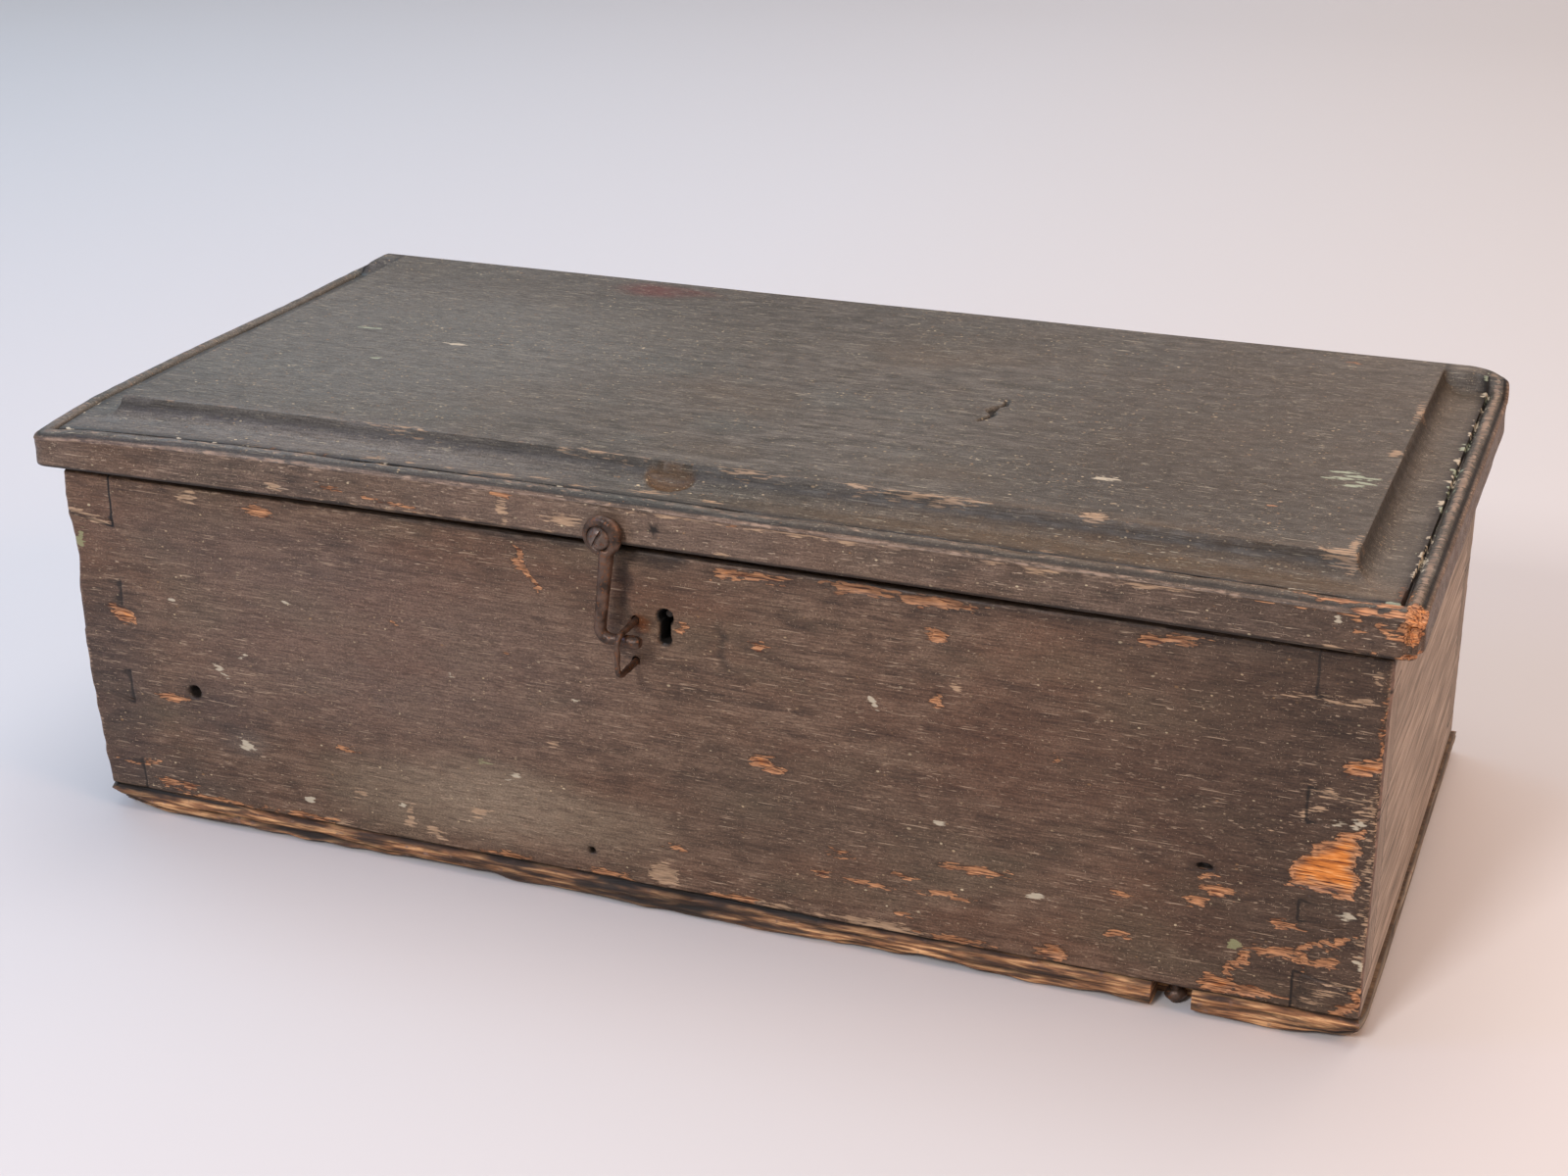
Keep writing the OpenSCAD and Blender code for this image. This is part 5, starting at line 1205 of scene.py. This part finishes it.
# Unpainted pine under the lid, planed: warm brown and matt, with long straight grain
lid_pine = bare_pine("aged_pine_under_lid", "#5e4836", "#86694d", "#a38564", (18, 1.2, 1.2),
                     "#5f4a38", 0.5, (80, 14, 24))
dressed(board, points, lid_wear, (grey_paint, edge_paint, lid_pine), skins)
stand_in(board, "lid_board")

# Hook: wrought iron rod, its top hammered round into an eye, its foot bent into an arm with a swollen end.
# It hangs from a screw in the lid's edge and has a dull brown shine.
hook_low, hook_high = corners("hook")
hook_joint = next(joint for joint in frame["record"]["behaviour"]["joints"] if joint["name"] == "hook_swing")
clear_of_lid = 0.3
pivot = np.array(hook_joint["pos_m"]) / MM - [0, clear_of_lid, 0]
eye_r, rod_r, foot_r, lean = 4.3, 2.1, 3.0, 0.12
foot = (pivot[0] + 2.0, pivot[1], hook_low[2] + 1.6 + foot_r)
ring = bend(pivot, eye_r, 0, 360, (0, 2), 41)
thick = 1.45 + 0.6 * np.cos(np.radians(np.linspace(0, 360, 41) - 35))
shank_top = np.array([foot[0] - foot_r + lean * (pivot[2] - foot[2] - 3.4), pivot[1], pivot[2] - 3.4])
shank = np.linspace(shank_top, (foot[0] - foot_r, pivot[1], foot[2]), 12)
arm_end = hook_high[0] - 1.7
arm = [(x, pivot[1], foot[2] - foot_r) for x in np.linspace(foot[0] + 0.6, arm_end, 8)]
stem = np.concatenate([shank, bend(foot, foot_r, 180, 270, (0, 2), 9)[1:], arm])
arm_r = [1.65, 1.6, 1.65, 1.75, 1.9, 2.0, 1.95, 1.45]
stem_r = np.concatenate([np.linspace(rod_r, 1.7, 12), np.full(8, 1.7), arm_r])
bars = bmesh.new()
rod(bars, ring, thick, (0, 1, 0), 14)
rod(bars, stem, stem_r, (0, 1, 0), 14)
hook = forged("hook", bars, 0.25, 0.12)
hook.materials.append(rusty_iron)
stand_in(hook, "hook")

# Hook screw: turned steel with a low round head, slotted, driven through the hook's eye into the lid's edge.
# The head is worn brown, and its slot stands at a slant.
screw_high = corners("hook_screw")[1]
head_r, head_h, slot_w, slot_turn = 3.35, 2.2, 0.95, math.radians(28)
seat_y = hook_low[1] + 0.35
bars = bmesh.new()
profile = [(0.0, head_h)]
profile += [(head_r * math.sin(a), head_h * math.cos(a)) for a in np.radians(np.arange(12, 91, 13))]
profile += [(head_r * 0.96, -0.25), (1.7, -0.6), (1.5, seat_y - screw_high[1]), (0.0, seat_y - screw_high[1])]
line = [bars.verts.new((pivot[0] + r, seat_y - h, pivot[2])) for r, h in profile]
edges = [bars.edges.new(pair) for pair in zip(line[:-1], line[1:])]
bmesh.ops.spin(bars, geom=line + edges, cent=pivot, axis=(0, 1, 0), angle=2 * math.pi, steps=36)
bmesh.ops.remove_doubles(bars, verts=bars.verts, dist=0.001)
bmesh.ops.recalc_face_normals(bars, faces=bars.faces)
blank = put("hook_screw_blank", as_mesh(bars, "hook_screw"))
blade = bmesh.new()
bmesh.ops.create_cube(blade, size=1, matrix=Matrix.Translation((pivot[0], seat_y - head_h, pivot[2]))
                      @ Matrix.Rotation(slot_turn, 4, "Y") @ Matrix.Diagonal((slot_w, 2.4, 9, 1)))
cutter = put("slot_cutter", as_mesh(blade, "slot_cutter"))
slotted = blank.modifiers.new("slot", "BOOLEAN")
slotted.object = cutter
screw = settled(blank)
bpy.data.objects.remove(cutter)
screw.vertices.foreach_set("co", (np.array([v.co for v in screw.vertices]) * MM).ravel())
screw.polygons.foreach_set("use_smooth", np.ones(len(screw.polygons), bool))
screw.set_sharp_from_angle(angle=math.radians(40))
screw.materials.clear()
screw.materials.append(steel_screw)
stand_in(screw, "hook_screw")

# Studio: a pale paper floor with a painted warm light towards the right, that curves up into a backdrop.
# A lamp stands before the chest and one above it, with cool fills at the left and warm ones right and behind.
floor_size, wall_y, sweep_r, wall_h = 6.0, 2.6, 1.2, 3.0
path = [(-4.0, 0.0), (wall_y - sweep_r, 0.0)]
path += [(wall_y - sweep_r + sweep_r * math.sin(a), sweep_r - sweep_r * math.cos(a))
         for a in np.radians(np.arange(6, 91, 6))]
path += [(wall_y, wall_h)]
backdrop = bpy.data.meshes.new("backdrop")
backdrop.from_pydata([(side * floor_size, py, pz) for py, pz in path for side in (-1, 1)], [],
                     [(2 * i, 2 * i + 1, 2 * i + 3, 2 * i + 2) for i in range(len(path) - 1)])
backdrop.polygons.foreach_set("use_smooth", np.ones(len(backdrop.polygons), bool))
# Matt paper: an even pale grey, with painted warm light growing towards the right
studio_paper, tree, where = blank_material("pale_studio_paper")
across = add(tree, "ShaderNodeSeparateXYZ", {0: where}).outputs[0]
warm_light_share = add(tree, "ShaderNodeMapRange", {0: across, 1: -0.25, 2: 0.5}).outputs[0]
tone = add(tree, "ShaderNodeMix", {0: warm_light_share, 6: "#d0d0d2", 7: "#cdc6c0"}, data_type="RGBA").outputs[2]
shader = add(tree, "ShaderNodeBsdfPrincipled", {"Base Color": tone, "Roughness": 0.8})
add(tree, "ShaderNodeOutputMaterial", {0: shader.outputs[0]})
backdrop.materials.append(studio_paper)
put("backdrop", backdrop)

chest_mid, floor_right = Vector((0, -0.005, 0.066)), Vector((0.42, -0.03, 0))
for name, place, aim, size, spread, power, tint in (
    ("window_lamp", (-0.25, -1.5, 1.15), chest_mid, 0.35, 180, 18.8, "#f8f6fb"),
    ("warm_lamp", (1.6, -0.2, 1.0), chest_mid, 1.0, 180, 10.8, "#ffbd8c"),
    ("top_lamp", (0.1, 0.3, 2.0), chest_mid, 1.5, 180, 19, "#f9f5f7"),
    ("back_lamp", (0.3, 1.5, 1.4), chest_mid, 1.2, 180, 8, "#ffdcc6"),
    ("floor_lamp", (0.95, -0.35, 0.9), floor_right, 0.3, 60, 0.2, "#ffc09a"),
    ("left_fill", (-1.0, -0.6, 0.9), chest_mid, 0.4, 180, 2.4, "#9ab0ff"),
    ("sky_lamp", (-1.2, 0.7, 1.2), Vector((-0.6, 0.5, 0)), 0.8, 150, 3.0, "#7bd0ff"),
):
    lamp = bpy.data.lights.new(name, "AREA")
    lamp.size = size
    lamp.spread = math.radians(spread)
    lamp.energy = power
    lamp.color = linear(tint)[:3]
    holder = put(name, lamp)
    holder.location = place
    holder.rotation_euler = (aim - Vector(place)).to_track_quat("-Z", "Y").to_euler()
    holder.visible_camera = False
world = bpy.data.worlds.new("pale_room")
world.use_nodes = True
world.node_tree.nodes["Background"].inputs[0].default_value = linear("#eceef2")
world.node_tree.nodes["Background"].inputs[1].default_value = 0.45
bpy.context.scene.world = world
bpy.context.scene.view_settings.view_transform = "Standard"

# Camera: placed where the photograph was taken from, with the lens that its perspective gives.
turn, tilt, roll = math.radians(21.148), math.radians(22.574), math.radians(-0.157)
eye = Vector((252.33, -657.21, 357.21)) * MM
forward = Vector((-math.sin(turn) * math.cos(tilt), math.cos(turn) * math.cos(tilt), -math.sin(tilt)))
right = forward.cross(Vector((0, 0, 1))).normalized()
up = right.cross(forward)
right, up = right * math.cos(roll) + up * math.sin(roll), up * math.cos(roll) - right * math.sin(roll)
lens = bpy.data.cameras.new("photo_camera")
focal_px, photo_px, sensor = 2543.63, 1600, 36
lens.sensor_width = sensor
lens.lens = sensor * focal_px / photo_px
lens.clip_start = 0.01
camera = put("photo_camera", lens)
camera.matrix_world = Matrix((right, up, -forward)).transposed().to_4x4()
camera.matrix_world.translation = eye
bpy.context.scene.camera = camera

bpy.context.view_layer.update()
